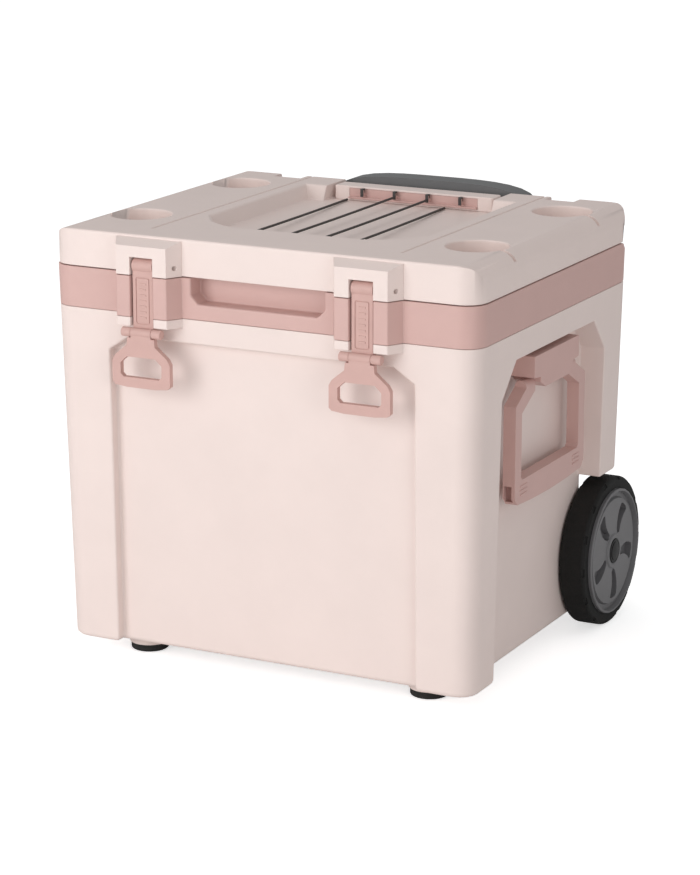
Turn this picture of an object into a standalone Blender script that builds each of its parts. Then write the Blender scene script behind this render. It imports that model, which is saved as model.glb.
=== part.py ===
"""Wheeled ice chest: insulated tub, hinged lid with rubber T-latches, bail handles and a pull handle.

Metres, +Z up. The origin lies on the ground under the middle of the whole chest. The front, with
the two latches, faces -Y, and the wheels and the pull handle are at the back, +Y. Each piece is
built about the tub's own middle, and the last step moves them all forward together.
"""
import math

import bmesh
import bpy
from mathutils import Matrix, Vector

MM = 0.001

# Clearances and walls
GAP = 0.3 * MM                 # between pieces that touch
RUNNING = 0.3 * MM             # radial, between a shaft and its hole
SHELL_WALL = 3.0 * MM
LINER_WALL = 2.5 * MM
LID_WALL = 3.0 * MM

# Tub and its rim
BODY_WIDTH = 600.0 * MM
BODY_DEPTH = 489.0 * MM
RIM_HEIGHT = 520.9 * MM
COLLAR_HEIGHT = 52.5 * MM
COLLAR_WIDTH = 31.0 * MM
GROUND_CLEARANCE = 23.0 * MM
TAPER = 0.019                  # how much each side leans in, per unit of height
CORNER_RADIUS = 28.0 * MM
HOLE_RADIUS = 20.0 * MM
CORNER_STEPS = 4

# Front face
PANEL_WIDTH = 429.0 * MM
PANEL_CHAMFER = 28.5 * MM
PANEL_DROP = 84.5 * MM         # from the rim down to the panel's top edge
PANEL_CORNER_DROP = 18.5 * MM
PANEL_DEPTH = 13.5 * MM
POCKET_WIDTH = 188.0 * MM
POCKET_HEIGHT = 32.5 * MM
POCKET_DEPTH = 25.0 * MM
POCKET_CHAMFER = 10.0 * MM

# Side faces
SIDE_PANEL_LENGTH = 330.0 * MM
SIDE_PANEL_TOP_LENGTH = 250.0 * MM
SIDE_PANEL_DROP = 88.0 * MM
SIDE_PANEL_CORNER_DROP = 44.0 * MM
SIDE_PANEL_DEPTH = 38.0 * MM

# Inner liner
LINER_SIDE_MARGIN = 30.0 * MM  # from the side panel's floor to the liner
LINER_END_MARGIN = 45.5 * MM   # from the tub's front and back to the liner
LINER_FLOOR = 60.0 * MM
LINER_RADIUS = 15.0 * MM
STEP_CLEARANCE = 12.0 * MM     # from the wheel wells up to the liner's step
STEP_SETBACK = 105.0 * MM      # from the tub's back to the liner's step
FLANGE_THICKNESS = 3.0 * MM
FLANGE_DROP = 2.3 * MM

# Wheels and axle
WHEEL_DIAMETER = 203.0 * MM
TYRE_WIDTH = 36.0 * MM
TYRE_DEPTH = 16.3 * MM
TYRE_SHOULDER = 5.0 * MM
TYRE_STEPS = 44
WHEEL_SETBACK = 43.8 * MM      # from the tub's back to the axle
HUB_PROUD = 4.5 * MM
HUB_POCKETS = 5
WHEEL_GAP = 2.0 * MM           # between the wheel and the side panel's floor
WELL_DEPTH = 95.0 * MM
WELL_CLEARANCE = 9.0 * MM      # over the tyre
WELL_START = 72.5 * MM         # from the tub's back to the open part of the well
AXLE_RADIUS = 6.0 * MM
SPACER_RADIUS = 13.0 * MM
CAP_RADIUS = 17.5 * MM
HUB_RIM = 3.0 * MM
HUB_CHANNEL = 8.0 * MM
HUB_CHANNEL_DEPTH = 6.5 * MM
HUB_DISC_DEPTH = 3.0 * MM
POCKET_TURN = 57.0             # degrees from +Y to the first pocket
POCKET_INNER = 29.0 * MM
POCKET_OUTER = 64.0 * MM
POCKET_INNER_HALF = 5.5 * MM
POCKET_OUTER_HALF = 11.0 * MM
POCKET_BOW = 4.0 * MM
HUB_POCKET_DEPTH = 9.0 * MM

# Feet
FOOT_RADIUS = 27.0 * MM
FOOT_SIDE_INSET = 95.0 * MM
FOOT_FRONT_INSET = 73.0 * MM
PAD_HEIGHT = 9.7 * MM

# Lid
LID_GAP = 1.2 * MM
LID_THICKNESS = 47.4 * MM
LID_INSET = 1.0 * MM
LID_EDGE_RADIUS = 3.0 * MM
LID_SIDE_RADIUS = 24.0 * MM
LID_SIDE_STEPS = 7
LID_SIDE_WALL = 4.0 * MM
LID_FRONT_WALL = 7.5 * MM
LID_REAR_WALL = 31.5 * MM
LID_RELIEF_HEIGHT = 20.5 * MM
LID_RELIEF_DEPTH = 10.5 * MM
REAR_CORNER_WIDTH = 52.0 * MM  # of the cut-back rear corners of the lid and the collar
REAR_CORNER_DEPTH = 28.5 * MM
REAR_CORNER_DROP = 20.0 * MM   # the collar's fall over that depth
CUP_RADIUS = 40.0 * MM
CUP_DEPTH = 21.0 * MM
CUP_SIDE_INSET = 60.0 * MM
CUP_FRONT_INSET = 128.0 * MM
CUP_REAR_INSET = 94.5 * MM
DRAIN_SLOT_WIDTH = 7.5 * MM
DRAIN_SLOT_DEPTH = 13.0 * MM
DRAIN_SLOT_OFFSET = 12.0 * MM
TRAY_TO_CUP = 43.0 * MM
TRAY_FRONT_INSET = 103.0 * MM
TRAY_REAR_INSET = 60.0 * MM
TRAY_DEPTH = 20.0 * MM
TRAY_SLOPE = 9.0 * MM
TRAY_CORNER = 58.0 * MM
TRAY_NOTCH_INSET = 32.0 * MM
GROOVE_OFFSET = 19.0 * MM
GROOVE_WIDTH = 3.0 * MM
GROOVE_DEPTH = 1.7 * MM
GROOVE_FRONT_INSET = 45.0 * MM
PLUG_MARGIN = 8.0 * MM         # between the lid's plug and the liner
PLUG_DEPTH = 12.0 * MM
GASKET_WIDTH = 9.0 * MM

# Accessory strips, hooks and elastic cords in the lid's tray
BLOCK_DEPTH = 28.0 * MM
BLOCK_REAR_INSET = 19.5 * MM
BLOCK_END_GAP = 6.0 * MM
STRIP_END_MARGIN = 23.0 * MM
STRIP_DEPTH = 5.0 * MM
HOOK_COUNT = 4
HOOK_SPACING = 49.0 * MM
HOOK_WIDTH = 4.0 * MM
HOOK_REACH = 7.0 * MM
CORD_RADIUS = 1.6 * MM
CORD_LEAN = 23.0 * MM           # of the two outer cords
CORD_HEIGHT = 10.5 * MM

# Latches
LATCH_SPACING = 307.0 * MM
LUG_FRONT_WIDTH = 72.0 * MM
LUG_BASE_WIDTH = 94.0 * MM
LUG_PROUD = 20.0 * MM
LUG_BOTTOM_DROP = 64.4 * MM
LUG_TOP_HEIGHT = 37.0 * MM
CHANNEL_WIDTH = 33.0 * MM
LATCH_WIDTH = 29.0 * MM
BARREL_RADIUS = 9.5 * MM
LATCH_PIN_RADIUS = 3.0 * MM
LATCH_PIN_INSET = 1.0 * MM     # of the pin's ends, from the lug's front corners
LATCH_PIN_HEIGHT = 11.4 * MM   # over the lid's underside
LATCH_PIN_SETBACK = 11.0 * MM  # behind the lugs' front
STRAP_THICKNESS = 8.6 * MM
STRAP_SETBACK = 2.5 * MM       # behind the barrel's front
STRAP_GROOVE = 1.5 * MM
STRAP_GROOVE_DEPTH = 1.0 * MM
STRAP_GROOVE_MARGIN = 4.5 * MM
ROLL_RADIUS = 6.0 * MM
ROLL_LENGTH = 57.0 * MM
ROLL_CORE_RADIUS = 3.0 * MM
ROLL_CLEARANCE = 1.5 * MM
ROLL_PROUD = 5.0 * MM          # in front of the lugs
PULL_THICKNESS = 7.7 * MM
PULL_PROUD = 3.8 * MM
PULL_WIDTH = 83.5 * MM
PULL_LENGTH = 60.0 * MM
NECK_WIDTH = 39.0 * MM
PULL_BAND = 13.5 * MM          # under the pull's opening
PULL_SIDE_BAND = 12.0 * MM

# Lid hinges
HINGE_SIDE_INSET = 95.0 * MM
HINGE_SETBACK = 11.0 * MM
HINGE_HEIGHT = 33.1 * MM       # over the rim
HINGE_WIDTH = 40.0 * MM
HINGE_RADIUS = 9.0 * MM
HINGE_PIN_RADIUS = 3.0 * MM
HINGE_PIN_REACH = 14.0 * MM
NOTCH_SIDE_GAP = 0.5 * MM
NOTCH_DEPTH = 13.5 * MM
HINGE_LEG = 38.0 * MM

# Side handles
BAIL_WIDTH = 222.0 * MM
BAIL_ARM = 19.0 * MM
BAIL_THICKNESS = 17.0 * MM
BAIL_BAR = 30.0 * MM
BAIL_BOW = 4.0 * MM
BAIL_LENGTH = 146.0 * MM       # pivot to the bottom of the bar
BAIL_PIVOT_DROP = 133.9 * MM   # under the rim
BAIL_PIVOT_REACH = 21.5 * MM   # out from the side panel's floor
BAIL_EYE_INNER = 52.0 * MM
BAIL_EYE_OUTER = 79.0 * MM
BAIL_SHOULDER_DROP = 18.0 * MM
BAIL_PIN_RADIUS = 3.0 * MM
BAIL_EYE_WALL = 3.0 * MM       # that closes the eye's outer end
BRACKET_TOP_DROP = 95.0 * MM
BRACKET_BOTTOM_DROP = 140.0 * MM
BRACKET_DEPTH = 37.0 * MM
BRACKET_CORNER = 9.0 * MM
BRACKET_CORNER_RUN = 16.0 * MM
BRACKET_WING = 71.0 * MM

# Pull handle
TOW_RAIL_SPACING = 240.0 * MM
TOW_RAIL_RADIUS = 8.5 * MM
TOW_RAIL_BORE = 7.0 * MM
TOW_GUIDE_WALL = 2.0 * MM
TOW_SETBACK = 24.5 * MM        # behind the tub's back
TOW_FOOT = 80.0 * MM
TOW_GUIDE_DROP = 15.0 * MM     # guides' top, under the rim
TOW_BRACKET_HEIGHT = 30.0 * MM
TOW_GRIP_WIDTH = 292.0 * MM
TOW_GRIP_DEPTH = 35.0 * MM
TOW_GRIP_TOP = 55.5 * MM       # over the rim
TOW_GRIP_RISE = 37.0 * MM
TOW_GRIP_BAR = 27.0 * MM
TOW_LEG_WIDTH = 34.0 * MM
TRIGGER_WIDTH = 44.0 * MM
TRIGGER_DEPTH = 18.0 * MM
TRIGGER_TRAVEL = 4.0 * MM

# Drain
DRAIN_RADIUS = 11.0 * MM
DRAIN_BORE = 8.0 * MM
DRAIN_Y = -100.0 * MM
DRAIN_HEIGHT = 79.0 * MM
DRAIN_FLANGE_RADIUS = 18.0 * MM
DRAIN_FLANGE = 4.0 * MM
DRAIN_SEAL = 2.0 * MM
DRAIN_HEAD_RADIUS = 15.0 * MM
DRAIN_HEAD = 10.0 * MM
DRAIN_STEM = 14.0 * MM
DRAIN_LOBES = 6

# Derived places
HALF_WIDTH = BODY_WIDTH / 2
HALF_DEPTH = BODY_DEPTH / 2
COLLAR_BOTTOM = RIM_HEIGHT - COLLAR_HEIGHT
TUB_TOP = COLLAR_BOTTOM - GAP
PANEL_TOP = RIM_HEIGHT - PANEL_DROP
SIDE_FLOOR = HALF_WIDTH - SIDE_PANEL_DEPTH
SIDE_PANEL_TOP = RIM_HEIGHT - SIDE_PANEL_DROP
WHEEL_Y = HALF_DEPTH - WHEEL_SETBACK
WHEEL_Z = WHEEL_DIAMETER / 2
TYRE_INNER = SIDE_FLOOR + WHEEL_GAP
TYRE_OUTER = TYRE_INNER + TYRE_WIDTH
HUB_RADIUS = WHEEL_DIAMETER / 2 - TYRE_DEPTH
WELL_TOP = WHEEL_DIAMETER + WELL_CLEARANCE
WELL_Y = HALF_DEPTH - WELL_START
SPINE_HALF = HALF_WIDTH - WELL_DEPTH
STEP_FLOOR = WELL_TOP + STEP_CLEARANCE
STEP_Y = HALF_DEPTH - STEP_SETBACK
LINER_X = SIDE_FLOOR - LINER_SIDE_MARGIN
LINER_Y = HALF_DEPTH - LINER_END_MARGIN
HOLE_X = HALF_WIDTH - COLLAR_WIDTH
HOLE_Y = HALF_DEPTH - COLLAR_WIDTH
FLANGE_TOP = RIM_HEIGHT - FLANGE_DROP
LID_BOTTOM = RIM_HEIGHT + LID_GAP
LID_TOP = LID_BOTTOM + LID_THICKNESS
LID_X = HALF_WIDTH - LID_INSET
LID_Y = HALF_DEPTH - LID_INSET
CUP_X = HALF_WIDTH - CUP_SIDE_INSET
CUP_FRONT_Y = CUP_FRONT_INSET - HALF_DEPTH
CUP_REAR_Y = HALF_DEPTH - CUP_REAR_INSET
TRAY_X = CUP_X - CUP_RADIUS - TRAY_TO_CUP
TRAY_FRONT = TRAY_FRONT_INSET - HALF_DEPTH
TRAY_REAR = HALF_DEPTH - TRAY_REAR_INSET
TRAY_FLOOR = LID_TOP - TRAY_DEPTH
NOTCH_X = TRAY_X - TRAY_NOTCH_INSET
BLOCK_X = NOTCH_X - BLOCK_END_GAP
BLOCK_REAR = HALF_DEPTH - BLOCK_REAR_INSET
BLOCK_FRONT = BLOCK_REAR - BLOCK_DEPTH
STRIP_X = BLOCK_X - STRIP_END_MARGIN
LUG_FRONT = -HALF_DEPTH - LUG_PROUD
LUG_BOTTOM = RIM_HEIGHT - LUG_BOTTOM_DROP
LATCH_X = LATCH_SPACING / 2
LATCH_PIN_Y = LUG_FRONT + LATCH_PIN_SETBACK
LATCH_PIN_Z = LID_BOTTOM + LATCH_PIN_HEIGHT
CHANNEL_BACK = LATCH_PIN_Y + BARREL_RADIUS + GAP
ROLL_Z = LUG_BOTTOM - ROLL_CLEARANCE - ROLL_RADIUS
ROLL_Y = LUG_FRONT - ROLL_PROUD + ROLL_RADIUS
HINGE_X = HALF_WIDTH - HINGE_SIDE_INSET
HINGE_Y = HALF_DEPTH - HINGE_SETBACK
HINGE_Z = RIM_HEIGHT + HINGE_HEIGHT
BAIL_X = SIDE_FLOOR + BAIL_PIVOT_REACH
BAIL_Z = RIM_HEIGHT - BAIL_PIVOT_DROP
TOW_X = TOW_RAIL_SPACING / 2
TOW_Y = HALF_DEPTH + TOW_SETBACK
TOW_TOP = RIM_HEIGHT + TOW_GRIP_TOP
TOW_GUIDE_TOP = RIM_HEIGHT - TOW_GUIDE_DROP
TOW_GUIDE_RADIUS = TOW_RAIL_RADIUS + RUNNING + TOW_GUIDE_WALL
TOW_BAR_BOTTOM = TOW_TOP - TOW_GRIP_BAR
ORIGIN_SHIFT = (WHEEL_Y + WHEEL_DIAMETER / 2 + LUG_FRONT - max(ROLL_PROUD, PULL_PROUD)) / 2

SIDES = (("left", -1), ("right", 1))

CREAM = (0.87, 0.82, 0.79)
PINK = (0.72, 0.50, 0.47)
CHARCOAL = (0.14, 0.14, 0.15)
HUB_GREY = (0.20, 0.20, 0.21)
RUBBER_BLACK = (0.015, 0.015, 0.015)
STEEL = (0.62, 0.62, 0.63)
WHITE = (0.85, 0.86, 0.86)
FOAM = (0.80, 0.72, 0.50)


def new_collection(name):
    """Make an empty collection in the scene."""
    group = bpy.data.collections.new(name)
    bpy.context.scene.collection.children.link(group)
    return group


for old in list(bpy.data.objects):
    bpy.data.objects.remove(old, do_unlink=True)
PARTS = new_collection("wheeled_ice_chest")
CUTTERS = new_collection("cutters")


def half_at(height):
    """Half width and half depth of the tub's outside at a height."""
    lean = TAPER * (RIM_HEIGHT - height)
    return HALF_WIDTH - lean, HALF_DEPTH - lean


def place(name, mesh, centre=(0, 0, 0)):
    """Turn a bmesh into an object at a place."""
    data = bpy.data.meshes.new(name)
    mesh.to_mesh(data)
    mesh.free()
    obj = bpy.data.objects.new(name, data)
    obj.location = centre
    PARTS.objects.link(obj)
    return obj


def box(name, low, high):
    """A plain block between two corners."""
    low, high = Vector(low), Vector(high)
    mesh = bmesh.new()
    bmesh.ops.create_cube(mesh, size=1.0)
    bmesh.ops.scale(mesh, vec=high - low, verts=mesh.verts)
    return place(name, mesh, (low + high) / 2)


def rounded_block(name, half, z_low, z_high, radius, lean=0.0, y_shift=0.0, top_radius=0.0):
    """A block with round upright corners, leaning in downwards, with an optional round top edge."""
    height = z_high - z_low
    mesh = bmesh.new()
    bmesh.ops.create_cube(mesh, size=1.0)
    bmesh.ops.scale(mesh, vec=(2 * half[0], 2 * half[1], height), verts=mesh.verts)
    upright = [e for e in mesh.edges if abs(e.verts[0].co.z - e.verts[1].co.z) > height / 2]
    bmesh.ops.bevel(mesh, geom=upright, offset=radius, segments=CORNER_STEPS, profile=0.5, affect="EDGES")
    for vert in mesh.verts:
        if vert.co.z < 0:
            vert.co.x *= 1 - lean * height / half[0]
            vert.co.y *= 1 - lean * height / half[1]
    if top_radius:
        rim = [e for e in mesh.edges if min(e.verts[0].co.z, e.verts[1].co.z) > 0]
        bmesh.ops.bevel(mesh, geom=rim, offset=top_radius, segments=CORNER_STEPS, profile=0.5, affect="EDGES")
    return place(name, mesh, (0, y_shift, (z_low + z_high) / 2))


def rod(name, centre, axis, radius, length, segments=32):
    """A solid cylinder along an axis."""
    mesh = bmesh.new()
    bmesh.ops.create_cone(mesh, cap_ends=True, segments=segments, radius1=radius, radius2=radius,
                          depth=length)
    turn = Vector((0, 0, 1)).rotation_difference(Vector(axis)).to_matrix()
    bmesh.ops.rotate(mesh, matrix=turn, verts=mesh.verts)
    return place(name, mesh, centre)


def turned(name, profile, centre, axis, steps=40, closed=False):
    """A turned shape: (radius, height) points that run down the outer side, spun about an axis."""
    mesh = bmesh.new()
    verts = [mesh.verts.new((radius, 0, height)) for radius, height in profile]
    for first, second in zip(verts, verts[1:]):
        mesh.edges.new((first, second))
    if closed:
        mesh.edges.new((verts[-1], verts[0]))
    obj = place(name, mesh, centre)
    obj.rotation_euler = Vector((0, 0, 1)).rotation_difference(Vector(axis)).to_euler()
    screw = obj.modifiers.new("turn", "SCREW")
    screw.steps = steps
    screw.render_steps = steps
    screw.use_merge_vertices = True
    screw.merge_threshold = 0.00001
    return obj


def as_mesh(curve_object):
    """Replace a curve object with a welded mesh object."""
    bpy.context.view_layer.update()
    graph = bpy.context.evaluated_depsgraph_get()
    data = bpy.data.meshes.new_from_object(curve_object.evaluated_get(graph))
    mesh = bmesh.new()
    mesh.from_mesh(data)
    bmesh.ops.remove_doubles(mesh, verts=mesh.verts, dist=0.00001)
    bmesh.ops.recalc_face_normals(mesh, faces=mesh.faces)
    mesh.to_mesh(data)
    mesh.free()
    name = curve_object.name
    matrix = curve_object.matrix_world.copy()
    bpy.data.objects.remove(curve_object, do_unlink=True)
    obj = bpy.data.objects.new(name, data)
    obj.matrix_world = matrix
    PARTS.objects.link(obj)
    return obj


PLATE_TURNS = {
    "X": Matrix(((0, 0, 1), (1, 0, 0), (0, 1, 0))),
    "Y": Matrix(((1, 0, 0), (0, 0, -1), (0, 1, 0))),
    "Z": Matrix.Identity(3),
}


def plate(name, outlines, axis, low, high):
    """A flat outline, with holes if it has more than one loop, given a thickness along an axis.

    The outline's points are (y, z) for axis X, (x, z) for Y and (x, y) for Z.
    """
    curve = bpy.data.curves.new(name, "CURVE")
    curve.dimensions = "2D"
    curve.fill_mode = "BOTH"
    curve.extrude = (high - low) / 2
    for outline in outlines:
        spline = curve.splines.new("POLY")
        spline.points.add(len(outline) - 1)
        for point, (first, second) in zip(spline.points, outline):
            point.co = (first, second, 0, 1)
        spline.use_cyclic_u = True
    obj = bpy.data.objects.new(name, curve)
    middle = (low + high) / 2
    offset = {"X": Vector((middle, 0, 0)), "Y": Vector((0, middle, 0)), "Z": Vector((0, 0, middle))}[axis]
    obj.matrix_world = Matrix.Translation(offset) @ PLATE_TURNS[axis].to_4x4()
    PARTS.objects.link(obj)
    return as_mesh(obj)


def arc(centre, radius, start, end, steps=6):
    """Points along an arc, with angles in degrees."""
    points = []
    for step in range(steps + 1):
        angle = math.radians(start + (end - start) * step / steps)
        points.append((centre[0] + radius * math.cos(angle), centre[1] + radius * math.sin(angle)))
    return points


def mirrored(half_outline):
    """A whole outline from its right half, which starts and ends near the middle line."""
    return list(half_outline) + [(-first, second) for first, second in reversed(half_outline)]


def hide(cutter):
    """Keep a cutter out of the model."""
    cutter.hide_render = True
    cutter.display_type = "WIRE"
    for group in list(cutter.users_collection):
        group.objects.unlink(cutter)
    CUTTERS.objects.link(cutter)


def combine(target, other, operation):
    """Add one Boolean modifier."""
    boolean = target.modifiers.new(other.name, "BOOLEAN")
    boolean.operation = operation
    boolean.solver = "EXACT"
    boolean.object = other
    hide(other)
    return target


def cut(target, *cutters):
    """Take cutters away from a piece."""
    for cutter in cutters:
        combine(target, cutter, "DIFFERENCE")
    return target


def join(target, *others):
    """Join pieces into one body."""
    for other in others:
        combine(target, other, "UNION")
    return target


def soften(obj, width, segments=2, angle=40.0):
    """Round a piece's edges."""
    bevel = obj.modifiers.new("edges", "BEVEL")
    bevel.width = width
    bevel.segments = segments
    bevel.limit_method = "ANGLE"
    bevel.angle_limit = math.radians(angle)
    return obj


def smooth(obj, angle=35.0):
    """Shade round faces smooth and keep edges sharp."""
    obj.data.shade_smooth()
    obj.data.set_sharp_from_angle(angle=math.radians(angle))
    return obj


def finish(obj, colour, roughness=0.5, metallic=0.0):
    """Give a piece its own material."""
    material = bpy.data.materials.new(obj.name)
    material.use_nodes = True
    shader = material.node_tree.nodes["Principled BSDF"]
    shader.inputs["Base Color"].default_value = (*colour, 1.0)
    shader.inputs["Roughness"].default_value = roughness
    shader.inputs["Metallic"].default_value = metallic
    obj.data.materials.clear()
    obj.data.materials.append(material)
    return obj


def pivot(name, place_at):
    """An empty on a joint's axis."""
    empty = bpy.data.objects.new(name, None)
    empty.location = place_at
    PARTS.objects.link(empty)
    return empty


def carry(empty, *pieces):
    """Parent pieces to an empty and leave them where they are."""
    bpy.context.view_layer.update()
    for piece in pieces:
        piece.parent = empty
        piece.matrix_parent_inverse = empty.matrix_world.inverted()


# ---------------------------------------------------------------- tub

def side_cutters(name, grow):
    """Cutters for the side panels and wheel wells, grown by a wall."""
    half = SIDE_PANEL_LENGTH / 2 + grow
    top_half = SIDE_PANEL_TOP_LENGTH / 2 + grow
    top = SIDE_PANEL_TOP + grow
    corner = top - SIDE_PANEL_CORNER_DROP
    outline = [(-half, -grow - 10 * MM), (half, -grow - 10 * MM), (half, corner), (top_half, top)]
    outline += [(-top_half, top), (-half, corner)]
    beyond = HALF_WIDTH + 20 * MM
    cutters = []
    for side, sign in SIDES:
        inner = sign * (SIDE_FLOOR - grow)
        low, high = sorted((inner, sign * beyond))
        cutters.append(plate(f"{name}_panel_{side}", [outline], "X", low, high))
        bay_low, bay_high = sorted((inner, sign * beyond))
        y_low = WHEEL_Y - WHEEL_DIAMETER / 2 - 10 * MM - grow
        cutters.append(box(f"{name}_bay_{side}", (bay_low, y_low, -30 * MM),
                           (bay_high, HALF_DEPTH + 20 * MM, WELL_TOP + grow)))
        well_low, well_high = sorted((sign * (SPINE_HALF - grow), sign * beyond))
        cutters.append(box(f"{name}_well_{side}", (well_low, WELL_Y - grow, -30 * MM),
                           (well_high, HALF_DEPTH + 20 * MM, WELL_TOP + grow)))
    return cutters


def front_cutter(name, grow):
    """Cutter for the front panel, leaning with the tub's face."""
    half = PANEL_WIDTH / 2 + grow
    top = PANEL_TOP + grow
    outline = [(-half, -10 * MM), (half, -10 * MM), (half, top - PANEL_CORNER_DROP)]
    outline += [(half - PANEL_CHAMFER, top), (PANEL_CHAMFER - half, top), (-half, top - PANEL_CORNER_DROP)]
    face = -half_at(PANEL_TOP)[1]
    cutter = plate(name, [outline], "Y", face - 30 * MM, face + PANEL_DEPTH + grow)
    for vert in cutter.data.vertices:
        vert.co.z -= TAPER * (PANEL_TOP - vert.co.y)
    return cutter


def liner_solid(name, grow, top):
    """The liner's outer shape, grown by a distance: a deep well with a step over the wheels."""
    back = LINER_Y + grow
    floor = LINER_FLOOR - grow
    step = STEP_FLOOR - grow
    outline = [(-back, floor), (STEP_Y + grow, floor), (STEP_Y + grow, step), (back, step), (back, top)]
    outline += [(-back, top)]
    solid = plate(name, [outline], "X", -LINER_X - grow, LINER_X + grow)
    return soften(solid, LINER_RADIUS + grow, segments=2, angle=60.0)


def lug(name, side, z_low, z_high, back):
    """A latch lug: its sides flare back towards the face that it stands on."""
    base = -HALF_DEPTH
    front = LUG_FRONT_WIDTH / 2
    foot = LUG_BASE_WIDTH / 2
    outline = [(front, LUG_FRONT), (foot, base), (foot, back), (-foot, back), (-foot, base)]
    outline += [(-front, LUG_FRONT)]
    outline = [(x + side * LATCH_X, y) for x, y in outline]
    return plate(name, [outline], "Z", z_low, z_high)


def channel(name, side, z_low, z_high):
    """The slot that a latch's strap lies in."""
    middle = side * LATCH_X
    return box(name, (middle - CHANNEL_WIDTH / 2, LUG_FRONT - 10 * MM, z_low),
               (middle + CHANNEL_WIDTH / 2, CHANNEL_BACK, z_high))


def tub_cavity(name, inset, floor, top):
    """The space inside the outer shell, less what the panels and wells push in."""
    half_x, half_y = half_at(top)
    solid = rounded_block(name, (half_x - inset, half_y - inset), floor, top, CORNER_RADIUS - inset, TAPER)
    return cut(solid, front_cutter(f"{name}_front", inset), *side_cutters(name, inset))


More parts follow.
